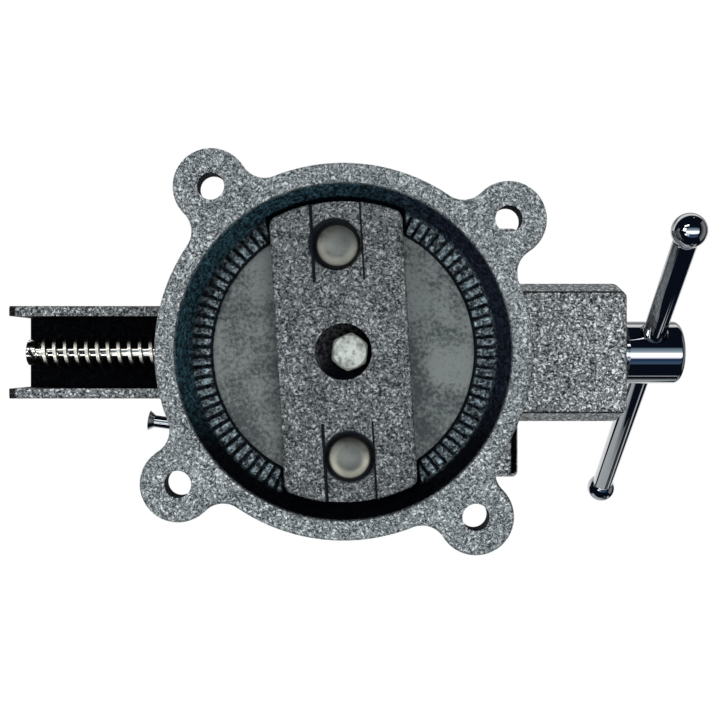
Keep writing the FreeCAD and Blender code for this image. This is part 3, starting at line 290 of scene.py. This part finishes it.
def bumped(w, shader, height, strength, distance):
    bump = w.node("Bump", Strength=strength, Distance=distance, Height=height)
    w.feed(shader.inputs["Normal"], bump.outputs["Normal"])


paint = {
    "pale": (0.82, 0.86, 0.87),
    "middle": (0.3, 0.333, 0.345),
    "dark": (0.03, 0.04, 0.047),
    "rough": (0.55, 0.36),  # of the dark lines and of the pale flecks
    "metallic": 0.2,
    "relief": (0.8, 0.0006),
}


# Silver-grey hammered enamel; shade adds what is special about one casting
def paintedCasting(name, shade, size, **tones):
    material, w, shader = newMaterial(name)
    toned = {part: tuple(c * tone for c in paint[part]) + (1,) for part, tone in tones.items()}
    flakes = useGroup(w, groups["hammered"], size=size, **toned)
    look = {
        "colour": flakes["colour"],
        "height": flakes["height"],
        "rough": w.spread(flakes["flake"], 0.0, 1.0, *paint["rough"]),
        "metal": paint["metallic"],
    }
    shade(w, look)
    w.feedAll(shader.inputs, {
        "Base Color": look["colour"], "Roughness": look["rough"], "Metallic": look["metal"],
    })
    bumped(w, shader, look["height"], *paint["relief"])
    return material


# Grain and gloss laid over painted shade
oilAndShade = {
    "grain": {"Scale": 620.0, "Detail": 1.0, "Distortion": 0.6},
    "stops": [(0.38, (0.12, 0.12, 0.12)), (0.62, (1, 1, 1))],
    "metallic": 0.9,
    "rough": 0.6,
}


# Painted shade: where the mask is 1 the enamel gets the given colour of painted light and shade,
# in a grain and with an oily gloss, and takes hardly any light
def paintShade(w, look, mask, colour):
    shade = w.ramp(w.noise(**oilAndShade["grain"]), oilAndShade["stops"])
    look["colour"] = w.mixColour(mask, look["colour"], w.timesColour(colour, shade))
    look["metal"] = w.mixValue(mask, look["metal"], oilAndShade["metallic"])
    look["rough"] = w.mixValue(mask, look["rough"], oilAndShade["rough"])


# Painted shade in holes and recesses: the given dark colour to the edge, without the shine that
# metal has at a slant
def paintDeepShade(w, look, mask, colour):
    look["colour"] = w.mixColour(mask, look["colour"], colour)
    look["metal"] = w.mixValue(mask, look["metal"], 0.0)
    look["rough"] = w.mixValue(mask, look["rough"], 1.0)


clampShade = {
    "turn": math.radians(-3.3),
    "slotHalf": 0.012,
    "slotStart": 0.034,
    "lineWidth": (-0.005, 0.005, 0.0008, 0.0005),
    "lineEdge": (0.0002, -0.0002),
    "boltAcross": (-1.0, 1.0, -0.0013, 0.0),
    "boltAlong": (-1.0, 1.0, 0.0523, 0.0507),
    "boltReach": (0.0134, 0.0122),
    "hole": 0.0142,
    "holeStart": 0.0046,
    "dark": (0.004, 0.006, 0.01, 1),
}


# Coordinates across and along the clamp bar, which stands a little turned
def barParts(w, x, y):
    cosine, sine = math.cos(clampShade["turn"]), math.sin(clampShade["turn"])
    across = w.math("ADD", w.times(x, cosine), w.times(y, sine))
    return across, w.minus(w.times(y, cosine), w.times(x, sine))


# Painted shade along the slots' sides, round the bolts' heads and in the middle hole
def shadeClamp(w, look):
    x, y, z = w.parts()
    across, along = barParts(w, x, y)
    side = w.math("SIGN", along)
    fromBolt = w.reach(w.minus(across, w.spread(side, *clampShade["boltAcross"])),
                       w.minus(w.absolute(along), w.spread(side, *clampShade["boltAlong"])))
    width = w.spread(across, *clampShade["lineWidth"])
    away = w.absolute(w.minus(w.absolute(across), clampShade["slotHalf"]))
    line = w.times(w.spread(w.minus(away, width), *clampShade["lineEdge"]),
                   w.above(w.absolute(along), clampShade["slotStart"]))
    hole = w.times(w.below(w.reach(across, along), clampShade["hole"]),
                   w.above(z, clampShade["holeStart"]))
    # Painted shade: dark lines by the slots' walls, a ring round each bolt's head, the middle
    # hole
    dark = w.most(line, w.spread(fromBolt, *clampShade["boltReach"]), hole)
    paintDeepShade(w, look, dark, clampShade["dark"])


baseShade = {
    "foot": (0.0808, 0.08),  # radius inside which the wall and lip get painted light and shade
    "under": 0.024,
    "lip": (0.0755, 0.0735),
    "teal": (0.15, 0.34, 0.43, 1),
    "navy": (0.06, 0.08, 0.14, 1),
    "shadow": (0.004, 0.006, 0.014, 1),
    "tealSide": (0.03, -0.07),
    "tealSlant": 0.5,
    "shadowSide": (0.014, 0.05),
    "toothCount": 88,
    "teeth": (0.6, 0.74, 0.8, 1),
    "groove": (0.06, 0.085, 0.11, 1),
    "grooveHeight": (0.0144, 0.0149),
    "toothEnd": (0.0658, 0.0652),
    "toothEdge": (0.15, 0.23),
    "lowLeft": (0.02, 0.07, 0.7, 0.18),
    "topLeft": (-0.04, -0.08),
    "outer": (0.068, 0.0725),
    "outerTone": 0.3,
    "patch": {"Scale": 420.0, "Detail": 3.0, "Roughness": 0.6},
    "patchStops": [(0.36, (0.35, 0.35, 0.35)), (0.62, (1, 1, 1))],
    "barSide": (0.0351, 0.0335),  # the bar throws a shadow on the lip beside it
    "barHeight": (0.0098, 0.0112),
    "lugs": [(0.0632, 0.0789), (-0.0789, 0.0632), (-0.0632, -0.0789), (0.0789, -0.0632)],
    "bore": 0.0067,
    "boreStart": 0.0006,
}


# The toothed lip: bright flat faces, with painted shade between them and where the teeth end; the
# middles of the faces get painted shade at the lower left, and the outer ends at the upper left
def toothColour(w, x, y, z, reach):
    inner = w.spread(reach, *baseShade["toothEnd"])
    grooved = w.spread(z, *baseShade["grooveHeight"])
    phase = w.times(w.math("ARCTAN2", y, x), baseShade["toothCount"] / math.tau)
    middle = w.absolute(w.minus(w.math("FRACT", phase), 0.5))
    lowLeft = w.spread(w.minus(y, x), *baseShade["lowLeft"])
    tone = w.mixValue(w.spread(middle, *baseShade["toothEdge"]), lowLeft, 1.0)
    topLeft = w.spread(w.math("ADD", x, y), *baseShade["topLeft"])
    outer = w.times(topLeft, w.spread(reach, *baseShade["outer"]))
    tone = w.times(tone, w.mixValue(outer, 1.0, baseShade["outerTone"]))
    land = w.timesColour(baseShade["teeth"], tone)
    return w.mixColour(w.most(grooved, inner), land, baseShade["groove"])


# Painted light and shade on the wall and toothed lip inside the ring, and painted shade in the
# bolt holes in its lugs
def shadeBase(w, look):
    x, y, z = w.parts()
    reach = w.reach(x, y)
    # The wall: teal on the lit side, navy on the other, painted shadow towards y > 0
    side = w.spread(w.adding(x, y, baseShade["tealSlant"]), *baseShade["tealSide"])
    wall = w.mixColour(side, baseShade["navy"], baseShade["teal"])
    wall = w.mixColour(w.spread(y, *baseShade["shadowSide"]), wall, baseShade["shadow"])
    lip = w.spread(reach, *baseShade["lip"])
    colour = w.mixColour(lip, wall, toothColour(w, x, y, z, reach))
    patch = w.ramp(w.noise(**baseShade["patch"]), baseShade["patchStops"])
    colour = w.timesColour(colour, patch)
    across, along = barParts(w, x, y)
    close = w.times(w.spread(w.absolute(across), *baseShade["barSide"]),
                    w.spread(z, *baseShade["barHeight"]))
    colour = w.mixColour(close, colour, baseShade["shadow"])
    inside = w.times(w.spread(reach, *baseShade["foot"]), w.below(z, baseShade["under"]))
    paintShade(w, look, inside, colour)
    # Painted shade in the lugs' bolt holes
    bores = w.most(*[w.below(w.reach(w.minus(x, across), w.minus(y, along)), baseShade["bore"])
                     for across, along in baseShade["lugs"]])
    bores = w.times(bores, w.above(z, baseShade["boreStart"]))
    paintDeepShade(w, look, bores, baseShade["shadow"])


disc = {
    "height": (0.0184, 0.018),
    "pale": (0.185, 0.205, 0.2, 1),
    "dark": (0.04, 0.05, 0.051, 1),
    "relief": 0.12,
    "recess": 0.0188,
    "rim": (0.064, 0.0644),
    "recessTop": 0.03,
    "black": (0.003, 0.004, 0.007, 1),
    "greyFleck": (0.075, 0.08, 0.085, 1),
    "fleckSide": (0.004, -0.014),
    "fleckGrain": {"Scale": 520.0, "Detail": 2.0},
    "fleckAt": (0.38, 0.62),
}
anvil = {"top": (0.1405, 0.1409), "behind": (-0.03, -0.035)}


# The faced disc under the body and the bare anvil on top; the disc's recess and its rim get
# painted shade, near black, with grey flecks towards one side
def shadeBody(w, look):
    x, y, z = w.parts()
    faced = useGroup(w, groups["turned"], pale=disc["pale"], dark=disc["dark"])
    top = w.times(w.spread(z, *anvil["top"]), w.spread(x, *anvil["behind"]))
    bare = w.most(w.spread(z, *disc["height"]), top)
    look["colour"] = w.mixColour(bare, look["colour"], faced["colour"])
    look["height"] = w.mixValue(bare, look["height"], w.times(faced["height"], disc["relief"]))
    look["rough"] = w.mixValue(bare, look["rough"], faced["rough"])
    reach = w.reach(x, y)
    recess = w.most(w.below(reach, disc["recess"]), w.spread(reach, *disc["rim"]))
    recess = w.times(recess, w.below(z, disc["recessTop"]))
    greyFleck = w.times(w.spread(w.math("ADD", x, y), *disc["fleckSide"]),
                   w.spread(w.noise(**disc["fleckGrain"]), *disc["fleckAt"]))
    paintDeepShade(w, look, recess, w.mixColour(greyFleck, disc["black"], disc["greyFleck"]))


jawShade = {
    "slideEnd": -0.05,
    "upperSlide": (0.5, 0.5, 0.51, 1),
    "lowerSlide": (0.76, 0.76, 0.77, 1),
    "channelHalf": 0.0199,
    "channelBottom": (0.0685, 0.0715),
    "channelTop": 0.1045,
    "channelFront": 0.1412,
    "headAside": 0.0425,
    "headTop": 0.1128,
    "headStart": (0.0966, 0.0974),
    "noseEdge": 0.0328,
    "edgeWidth": (0.0008, 0.0003),
    "noseFront": (0.1533, 0.1539),
    "noseTop": 0.0705,
    "noseStart": 0.085,
    "rear": (-0.1775, -0.1805),
    "outline": 0.85,
    "dark": (0.002, 0.003, 0.007, 1),
}


# Painted shade inside the slide's channel, under the jaw's head, along the nose's outline and at
# the slide's rear end
def shadeJaw(w, look):
    x, y, z = w.parts()
    # The slide is painted darker at y < 0 than at y > 0, as painted shade
    tone = w.mixColour(w.above(y, 0.0), jawShade["upperSlide"], jawShade["lowerSlide"])
    tone = w.mixColour(w.below(x, jawShade["slideEnd"]), (1, 1, 1, 1), tone)
    look["colour"] = w.timesColour(look["colour"], tone)
    aside = w.absolute(y)
    inside = w.times(w.below(aside, jawShade["channelHalf"]),
                     w.below(z, jawShade["channelTop"]),
                     w.spread(z, *jawShade["channelBottom"]),
                     w.below(x, jawShade["channelFront"]))
    head = w.times(w.above(aside, jawShade["headAside"]), w.below(z, jawShade["headTop"]),
                   w.spread(x, *jawShade["headStart"]))
    edge = w.spread(w.absolute(w.minus(aside, jawShade["noseEdge"])), *jawShade["edgeWidth"])
    outline = w.times(w.most(edge, w.spread(x, *jawShade["noseFront"])),
                      w.below(z, jawShade["noseTop"]), w.above(x, jawShade["noseStart"]))
    outline = w.times(w.most(outline, w.spread(x, *jawShade["rear"])), jawShade["outline"])
    paintShade(w, look, w.most(inside, head, outline), jawShade["dark"])


# Tones multiply the enamel's own pale flecks, middle and dark lines; the castings share one
# enamel, and their tones are lighter and darker copies of it, painted light and shade for how
# brightly each piece shows
castings = {
    "swivel_base": {"name": "baseEnamel", "shade": shadeBase, "size": 300.0,
                    "pale": 0.8, "middle": 0.94, "dark": 1.5},
    "vise_body": {"name": "bodyEnamel", "shade": shadeBody, "size": 300.0,
                  "pale": 1.1, "middle": 1.05, "dark": 0.9},
    "movable_jaw": {"name": "jawEnamel", "shade": shadeJaw, "size": 270.0,
                    "pale": 0.86, "middle": 0.66, "dark": 0.32},
    "clamp_bar": {"name": "clampEnamel", "shade": shadeClamp, "size": 300.0,
                  "pale": 0.58, "middle": 0.56, "dark": 0.5},
}

fineRelief = (0.25, 0.00008)
steel = {
    "dullZinc": {
        "marks": {"clean": (0.3, 0.31, 0.27, 1), "soiledAndShade": (0.17, 0.16, 0.12, 1),
                  "size": 150.0, "share": 0.34},
        "rough": (0.5, 0.66), "metallic": 1.0, "relief": fineRelief,
        "pieces": ["lock_washers"],
    },
    "brightZinc": {
        "marks": {"clean": (0.64, 0.66, 0.615, 1), "soiledAndShade": (0.19, 0.2, 0.17, 1),
                  "size": 260.0, "share": 0.33},
        "rough": (0.42, 0.6), "metallic": 1.0, "relief": fineRelief,
        "pieces": ["nut_bolt", "nut_bolt_washer"],
        "boltAxis": 0.0029, "corners": (0.0077, 0.0084),
    },
    "blackenedSteel": {
        "marks": {"clean": (0.05, 0.05, 0.055, 1), "soiledAndShade": (0.09, 0.08, 0.07, 1),
                  "size": 120.0, "share": 0.3},
        "rough": (0.4, 0.6), "metallic": 1.0, "relief": fineRelief,
        "pieces": ["fixed_jaw_screws", "movable_jaw_screws", "screw_collar"],
    },
    "hardenedSteel": {
        "marks": {"clean": (0.36, 0.36, 0.38, 1), "soiledAndShade": (0.16, 0.15, 0.14, 1),
                  "size": 90.0, "share": 0.35},
        "rough": (0.32, 0.5), "metallic": 1.0, "relief": fineRelief,
        "pieces": ["fixed_jaw_insert", "movable_jaw_insert", "collar_pin"],
    },
    "ironNut": {
        "marks": {"clean": (0.3, 0.31, 0.3, 1), "soiledAndShade": (0.12, 0.12, 0.11, 1),
                  "size": 70.0, "share": 0.4},
        "rough": (0.45, 0.65), "metallic": 1.0, "relief": fineRelief,
        "pieces": ["main_nut"],
    },
    "chromePlate": {
        "marks": {"clean": (0.56, 0.57, 0.59, 1), "soiledAndShade": (0.48, 0.48, 0.49, 1),
                  "size": 60.0, "share": 0.2},
        "rough": (0.035, 0.1), "metallic": 1.0, "relief": (0.05, 0.00004),
        "pieces": ["handle_bar", "handle_ball_lower", "handle_ball_upper", "thrust_washer",
                   "lock_nut_left", "lock_nut_right", "lock_bar_left", "lock_bar_right"],
    },
}


# The rest of a steel's look: gloss by its marks, and a fine relief
def finishSteel(w, shader, marks, look, colour):
    w.feedAll(shader.inputs, {
        "Base Color": colour,
        "Roughness": w.spread(marks["dirt"], 0.0, 1.0, *look["rough"]),
        "Metallic": look["metallic"],
    })
    bumped(w, shader, marks["height"], *look["relief"])


def bareSteel(name, look):
    material, w, shader = newMaterial(name)
    marks = useGroup(w, groups["worn"], **look["marks"])
    colour = marks["colour"]
    # The hex head gets painted shade towards its corners
    if "corners" in look:
        x, y, z = w.parts()
        corner = w.spread(w.reach(w.minus(x, look["boltAxis"]), y), *look["corners"])
        colour = w.mixColour(corner, colour, look["marks"]["soiledAndShade"])
    finishSteel(w, shader, marks, look, colour)
    return material


# Numbers that start with -1 and 1 give a value for the bolt at y < 0, then for the other
boltHead = {
    "marks": {"clean": (0.18, 0.195, 0.182, 1), "soiledAndShade": (0.02, 0.018, 0.015, 1),
              "size": 150.0, "share": 0.22},
    "rough": (0.5, 0.62), "metallic": 0.5, "relief": fineRelief,
    "pieces": ["lock_bolt_left", "lock_bolt_right"],
    "place": (0.00296, 0.05131),
    "paintedHighlight": (1.0, 0.97, 0.8, 1),
    "ringInner": (0.005, 0.008),
    "ringOuter": (0.01, 0.0087),
    "ringTop": 0.013,
    "ringGrain": {"Scale": 70.0, "Detail": 2.0},
    "grainTone": (0.3, 0.6, 0.5, 1.0),
    "ringAlong": (-0.006, 0.007, 0.12, 1.0),
    "ringSide": (-1.0, 1.0, 0.35, 1.0),
    "shadeAlong": (-0.005, -0.0095),
    "shadeSide": (-1.0, 1.0, 0.3, 0.8),
    "edge": (0.0096, 0.01),
}


# Dull plating on the domed heads, with a painted highlight in a ring that is brightest towards
# the lower side, painted shade at the upper side and painted shade at the edge
def boltSteel():
    material, w, shader = newMaterial("boltPlating")
    x, y, z = w.parts()
    across, along = boltHead["place"]
    side = w.math("SIGN", y)
    lower = w.minus(y, w.times(side, along))
    away = w.reach(w.minus(x, w.times(side, across)), lower)
    marks = useGroup(w, groups["worn"], **boltHead["marks"])
    ring = w.times(w.spread(away, *boltHead["ringInner"]),
                   w.spread(away, *boltHead["ringOuter"]),
                   w.spread(w.noise(**boltHead["ringGrain"]), *boltHead["grainTone"]),
                   w.below(z, boltHead["ringTop"]),
                   w.spread(lower, *boltHead["ringAlong"]),
                   w.spread(side, *boltHead["ringSide"]))
    colour = w.mixColour(ring, marks["colour"], boltHead["paintedHighlight"])
    shaded = w.times(w.spread(lower, *boltHead["shadeAlong"]),
                     w.spread(side, *boltHead["shadeSide"]))
    for mask in (shaded, w.spread(away, *boltHead["edge"])):
        colour = w.mixColour(mask, colour, boltHead["marks"]["soiledAndShade"])
    finishSteel(w, shader, marks, boltHead, colour)
    return material


spindle = {
    "marks": {"clean": (0.85, 0.84, 0.78, 1), "soiledAndShade": (0.5, 0.45, 0.36, 1),
              "size": 110.0, "share": 0.25},
    "rough": (0.08, 0.15),
    "relief": (0.08, 0.00004),
    "axis": 0.091,
    "crest": (0.0077, 0.0079),
    "crestColour": (0.86, 0.84, 0.76, 1),
    "crestLit": (0.0066, 0.0035, 0.06, 1.0),
    "crestEnd": 0.12,
    "crestDull": 0.6,
    "root": (0.0068, 0.0057),
    # Dark colour of oil and painted shade, on the flanks and the end
    "oilAndShade": (0.012, 0.012, 0.014, 1),
    "oilyRough": 0.5,
    "thread": (-0.173, -0.169),
    "spots": {"Scale": 330.0, "Detail": 1.0},
    "spotsAt": (0.44, 0.52),
    "hubStart": 0.156,
}


# Bright roots, and crests painted bright only across the middle of the screw, as painted light;
# flanks and end dark with oil and painted shade, the end spotted; the hub for the handle is
# chromed
def screwSteel():
    material, w, shader = newMaterial("screwSteel")
    x, y, z = w.parts()
    reach = w.reach(y, w.minus(z, spindle["axis"]))
    marks = useGroup(w, groups["worn"], **spindle["marks"])
    thread = w.spread(x, *spindle["thread"])
    # Crests painted bright across the middle of the screw only, as painted light
    crest = w.times(w.spread(reach, *spindle["crest"]), thread,
                    w.spread(w.absolute(y), *spindle["crestLit"]))
    root = w.times(w.spread(reach, *spindle["root"]), thread)
    spots = w.times(w.spread(w.noise(**spindle["spots"]), *spindle["spotsAt"]),
                    w.minus(1.0, thread))
    colour = w.mixColour(root, spindle["oilAndShade"], marks["colour"])
    colour = w.mixColour(crest, colour, spindle["crestColour"])
    colour = w.mixColour(spots, colour, spindle["marks"]["clean"])
    hub = w.above(x, spindle["hubStart"])
    hubLook = steel["chromePlate"]
    rough = w.mixValue(w.most(crest, root, spots), spindle["oilyRough"],
                       w.spread(marks["dirt"], 0.0, 1.0, *spindle["rough"]))
    dull = w.times(crest, w.below(x, spindle["crestEnd"]), spindle["crestDull"])
    w.feedAll(shader.inputs, {
        "Base Color": w.mixColour(hub, colour, hubLook["marks"]["clean"]),
        "Roughness": w.mixValue(hub, rough, hubLook["rough"][0]),
        "Metallic": w.minus(1.0, dull),
    })
    bumped(w, shader, w.mixValue(hub, marks["height"], 0.5), *spindle["relief"])
    return material


finishes = {node: paintedCasting(**look) for node, look in castings.items()}
finishes["main_screw"] = screwSteel()
finishes.update(dict.fromkeys(boltHead["pieces"], boltSteel()))
for name, look in steel.items():
    finishes.update(dict.fromkeys(look["pieces"], bareSteel(name, look)))

for name in nodes:
    mesh = nodes[name].data
    mesh.materials.clear()
    mesh.materials.append(finishes[name])
print("materials on", len(nodes), "nodes")


# Four corners around the origin, reaching both ways along across and up
def makePanel(name, across, up, material):
    corners = [-across - up, across - up, across + up, up - across]
    mesh = bpy.data.meshes.new(name)
    mesh.from_pydata([tuple(c) for c in corners], [], [(0, 1, 2, 3)])
    mesh.materials.append(material)
    panel = bpy.data.objects.new(name, mesh)
    bpy.context.scene.collection.objects.link(panel)
    return panel


ground = {
    "colour": (0.86, 0.86, 0.86, 1),
    "rough": 0.9,
    "specular": 0.1,
    "half": 3.0,
    "drop": -0.0004,
    "fade": (0.45, 1.3),
    "benchEdge": (0.125, 0.165),  # the handle hangs past the bench, which ends here
}


# A pale floor that is seen only from above and fades out around the vise
def makeFloor():
    material, w, shader = newMaterial("paleFloor")
    w.feedAll(shader.inputs, {
        "Base Color": ground["colour"], "Roughness": ground["rough"],
        "Specular IOR Level": ground["specular"],
    })
    x, y, z = w.parts()
    clear = w.most(w.node("NewGeometry").outputs["Backfacing"],
                   w.node("LightPath").outputs["Is Shadow Ray"],
                   w.spread(w.reach(x, y), *ground["fade"]), w.spread(x, *ground["benchEdge"]))
    mix = w.node("MixShader", Fac=clear)
    w.feed(mix.inputs[1], shader.outputs[0])
    w.feed(mix.inputs[2], w.node("BsdfTransparent").outputs[0])
    output = material.node_tree.nodes["Material Output"]
    w.feed(output.inputs["Surface"], mix.outputs[0])
    half = ground["half"]
    floor = makePanel("floor", Vector((half, 0, 0)), Vector((0, half, 0)), material)
    floor.location.z = ground["drop"]
    floor.visible_glossy = False


sky = {
    "ambient": (0.4, 0.4, 0.4, 1),
    "tilt": -0.345,
    "edge": (0.56, 0.64),
    "ceiling": (1, 1, 1, 1),
    "underside": (0.004, 0.0065, 0.014, 1),
}


# White to the camera, and to gloss a white ceiling over dark sides
def makeWorld():
    world = bpy.data.worlds.new("studioWorld")
    bpy.context.scene.world = world
    world.use_nodes = True
    w = Wiring(world.node_tree)
    path = w.node("LightPath").outputs
    way = w.node("SeparateXYZ", Vector=w.node("TexCoord").outputs["Generated"]).outputs
    rise = w.spread(w.adding(way["Z"], way["Y"], sky["tilt"]), *sky["edge"])
    mirrored = w.mixColour(rise, sky["underside"], sky["ceiling"])
    seen = w.mixColour(path["Is Glossy Ray"], sky["ambient"], mirrored)
    direct = w.most(path["Is Camera Ray"], path["Is Transmission Ray"])
    background = world.node_tree.nodes["Background"]
    w.feedAll(background.inputs, {
        "Color": w.mixColour(direct, seen, (1, 1, 1, 1)), "Strength": 1.0,
    })


strip = {"across": (0.24, 0, 0), "up": (0, 0.09, 0), "bands": [(0.0, (4, 4, 4))]}
cards = {
    "keyCard": {"centre": (0.25, 0.275, -0.6), "across": (0.55, 0, 0), "up": (0, 0.49, 0),
                "bands": [(0.0, (0.01, 0.02, 0.05)), (0.05, (0.16, 0.24, 0.3)),
                          (0.18, (0.38, 0.48, 0.56)), (0.24, (1.0, 1.05, 1.1)),
                          (0.3, (2.6, 2.7, 2.7)), (0.4, (2.4, 2.5, 2.5)),
                          (0.48, (1.0, 1.02, 1.15)), (0.54, (0.01, 0.02, 0.09)),
                          (0.66, (0.03, 0.08, 0.15)), (0.82, (0.08, 0.13, 0.22)),
                          (0.95, (0.004, 0.006, 0.014))]},
    "paleCard": {"centre": (-0.065, 0.6, 0.5), "across": (0.355, 0, 0), "up": (0, 0, 0.25),
                 "bands": [(0.0, (0.16, 0.17, 0.18)), (0.12, (0.5, 0.53, 0.54)),
                           (1.0, (0.6, 0.63, 0.63))]},
    "hubCard": {"centre": (0.365, 0.6, 0.52), "across": (0.065, 0, 0), "up": (0, 0, 0.24),
                "bands": [(0.0, (0.01, 0.012, 0.02)), (0.12, (0.03, 0.035, 0.04)),
                          (0.24, (0.12, 0.13, 0.135)), (0.4, (0.4, 0.43, 0.44)),
                          (1.0, (0.6, 0.63, 0.63))]},
    "narrowCard": {"centre": (0.57, 0.6, 0.5), "across": (0.07, 0, 0), "up": (0, 0, 0.25),
                   "bands": [(0.0, (0.5, 0.53, 0.54)), (1.0, (0.6, 0.63, 0.63))]},
    "lineCard": {"centre": (0.37, 0.6, 0.16), "across": (0.06, 0, 0), "up": (0, 0, 0.02),
                 "bands": [(0.0, (0.15, 0.16, 0.19))]},
    "upperStrip": {"centre": (-0.28, -0.42, -0.6), **strip},
    "lowerStrip": {"centre": (-0.28, 0.42, -0.6), **strip},
    "frontCard": {"centre": (1.3, 0, -0.1), "across": (0, 0.9, 0), "up": (0, 0, 0.5),
                  "bands": [(0.0, (0.05, 0.055, 0.06)), (0.6, (0.3, 0.31, 0.32)),
                            (1.0, (0.12, 0.125, 0.13))]},
    "darkFlag": {"centre": (0.25, -0.2, 0.42), "across": (0.5, 0, 0), "up": (0, 0.27, 0),
                 "bands": [(0.0, (0.004, 0.0065, 0.014))]},
}


# A flat card that only gloss sees; its bands of colour follow each other along up
def makeCard(name, look):
    material, w, shader = newMaterial(name)
    across, up = Vector(look["across"]), Vector(look["up"])
    along = w.node("VectorMath", {"operation": "DOT_PRODUCT"})
    w.feed(along.inputs[0], w.place())
    w.feed(along.inputs[1], tuple(up / up.length_squared / 2))
    height = w.math("ADD", along.outputs["Value"], 0.5)
    w.feedAll(shader.inputs, {
        "Base Color": (0, 0, 0, 1), "Specular IOR Level": 0.0,
        "Emission Color": w.ramp(height, look["bands"]), "Emission Strength": 1.0,
    })
    card = makePanel(name, across, up, material)
    card.location = look["centre"]
    card.visible_camera = False
    card.visible_diffuse = False
    card.visible_transmission = False
    card.visible_shadow = False


lampTarget = Vector((0, 0, 0.08))
lamps = {
    "overheadKey": {"at": (0.2, -0.7, 1.3), "size": (0.9, 0.9), "power": 20.0, "glossy": False},
    "overheadFill": {"at": (-0.9, 0.5, 1.0), "size": (0.9, 0.9), "power": 11.0, "glossy": False},
    "lowerKey": {"at": (0.25, 0.14, -0.6), "size": (1.0, 0.3), "power": 4.2, "glossy": False},
    "lowerFill": {"at": (0.25, -0.24, -0.62), "size": (1.0, 0.12), "power": 0.8, "glossy": False},
    "lowerSide": {"at": (-0.6, -0.1, -0.7), "size": (0.3, 0.3), "power": 2.4, "glossy": True},
}


def makeLamp(name, look):
    data = bpy.data.lights.new(name, "AREA")
    data.shape = "RECTANGLE"
    data.size, data.size_y = look["size"]
    data.energy = look["power"]
    lamp = bpy.data.objects.new(name, data)
    lamp.location = look["at"]
    aim = lampTarget - Vector(look["at"])
    lamp.rotation_euler = Vector((0, 0, -1)).rotation_difference(aim).to_euler()
    lamp.visible_camera = False
    lamp.visible_glossy = look["glossy"]
    bpy.context.scene.collection.objects.link(lamp)


makeFloor()
makeWorld()
for name, look in cards.items():
    makeCard(name, look)
for name, look in lamps.items():
    makeLamp(name, look)
bpy.context.scene.view_settings.view_transform = "Standard"
print("studio lit")
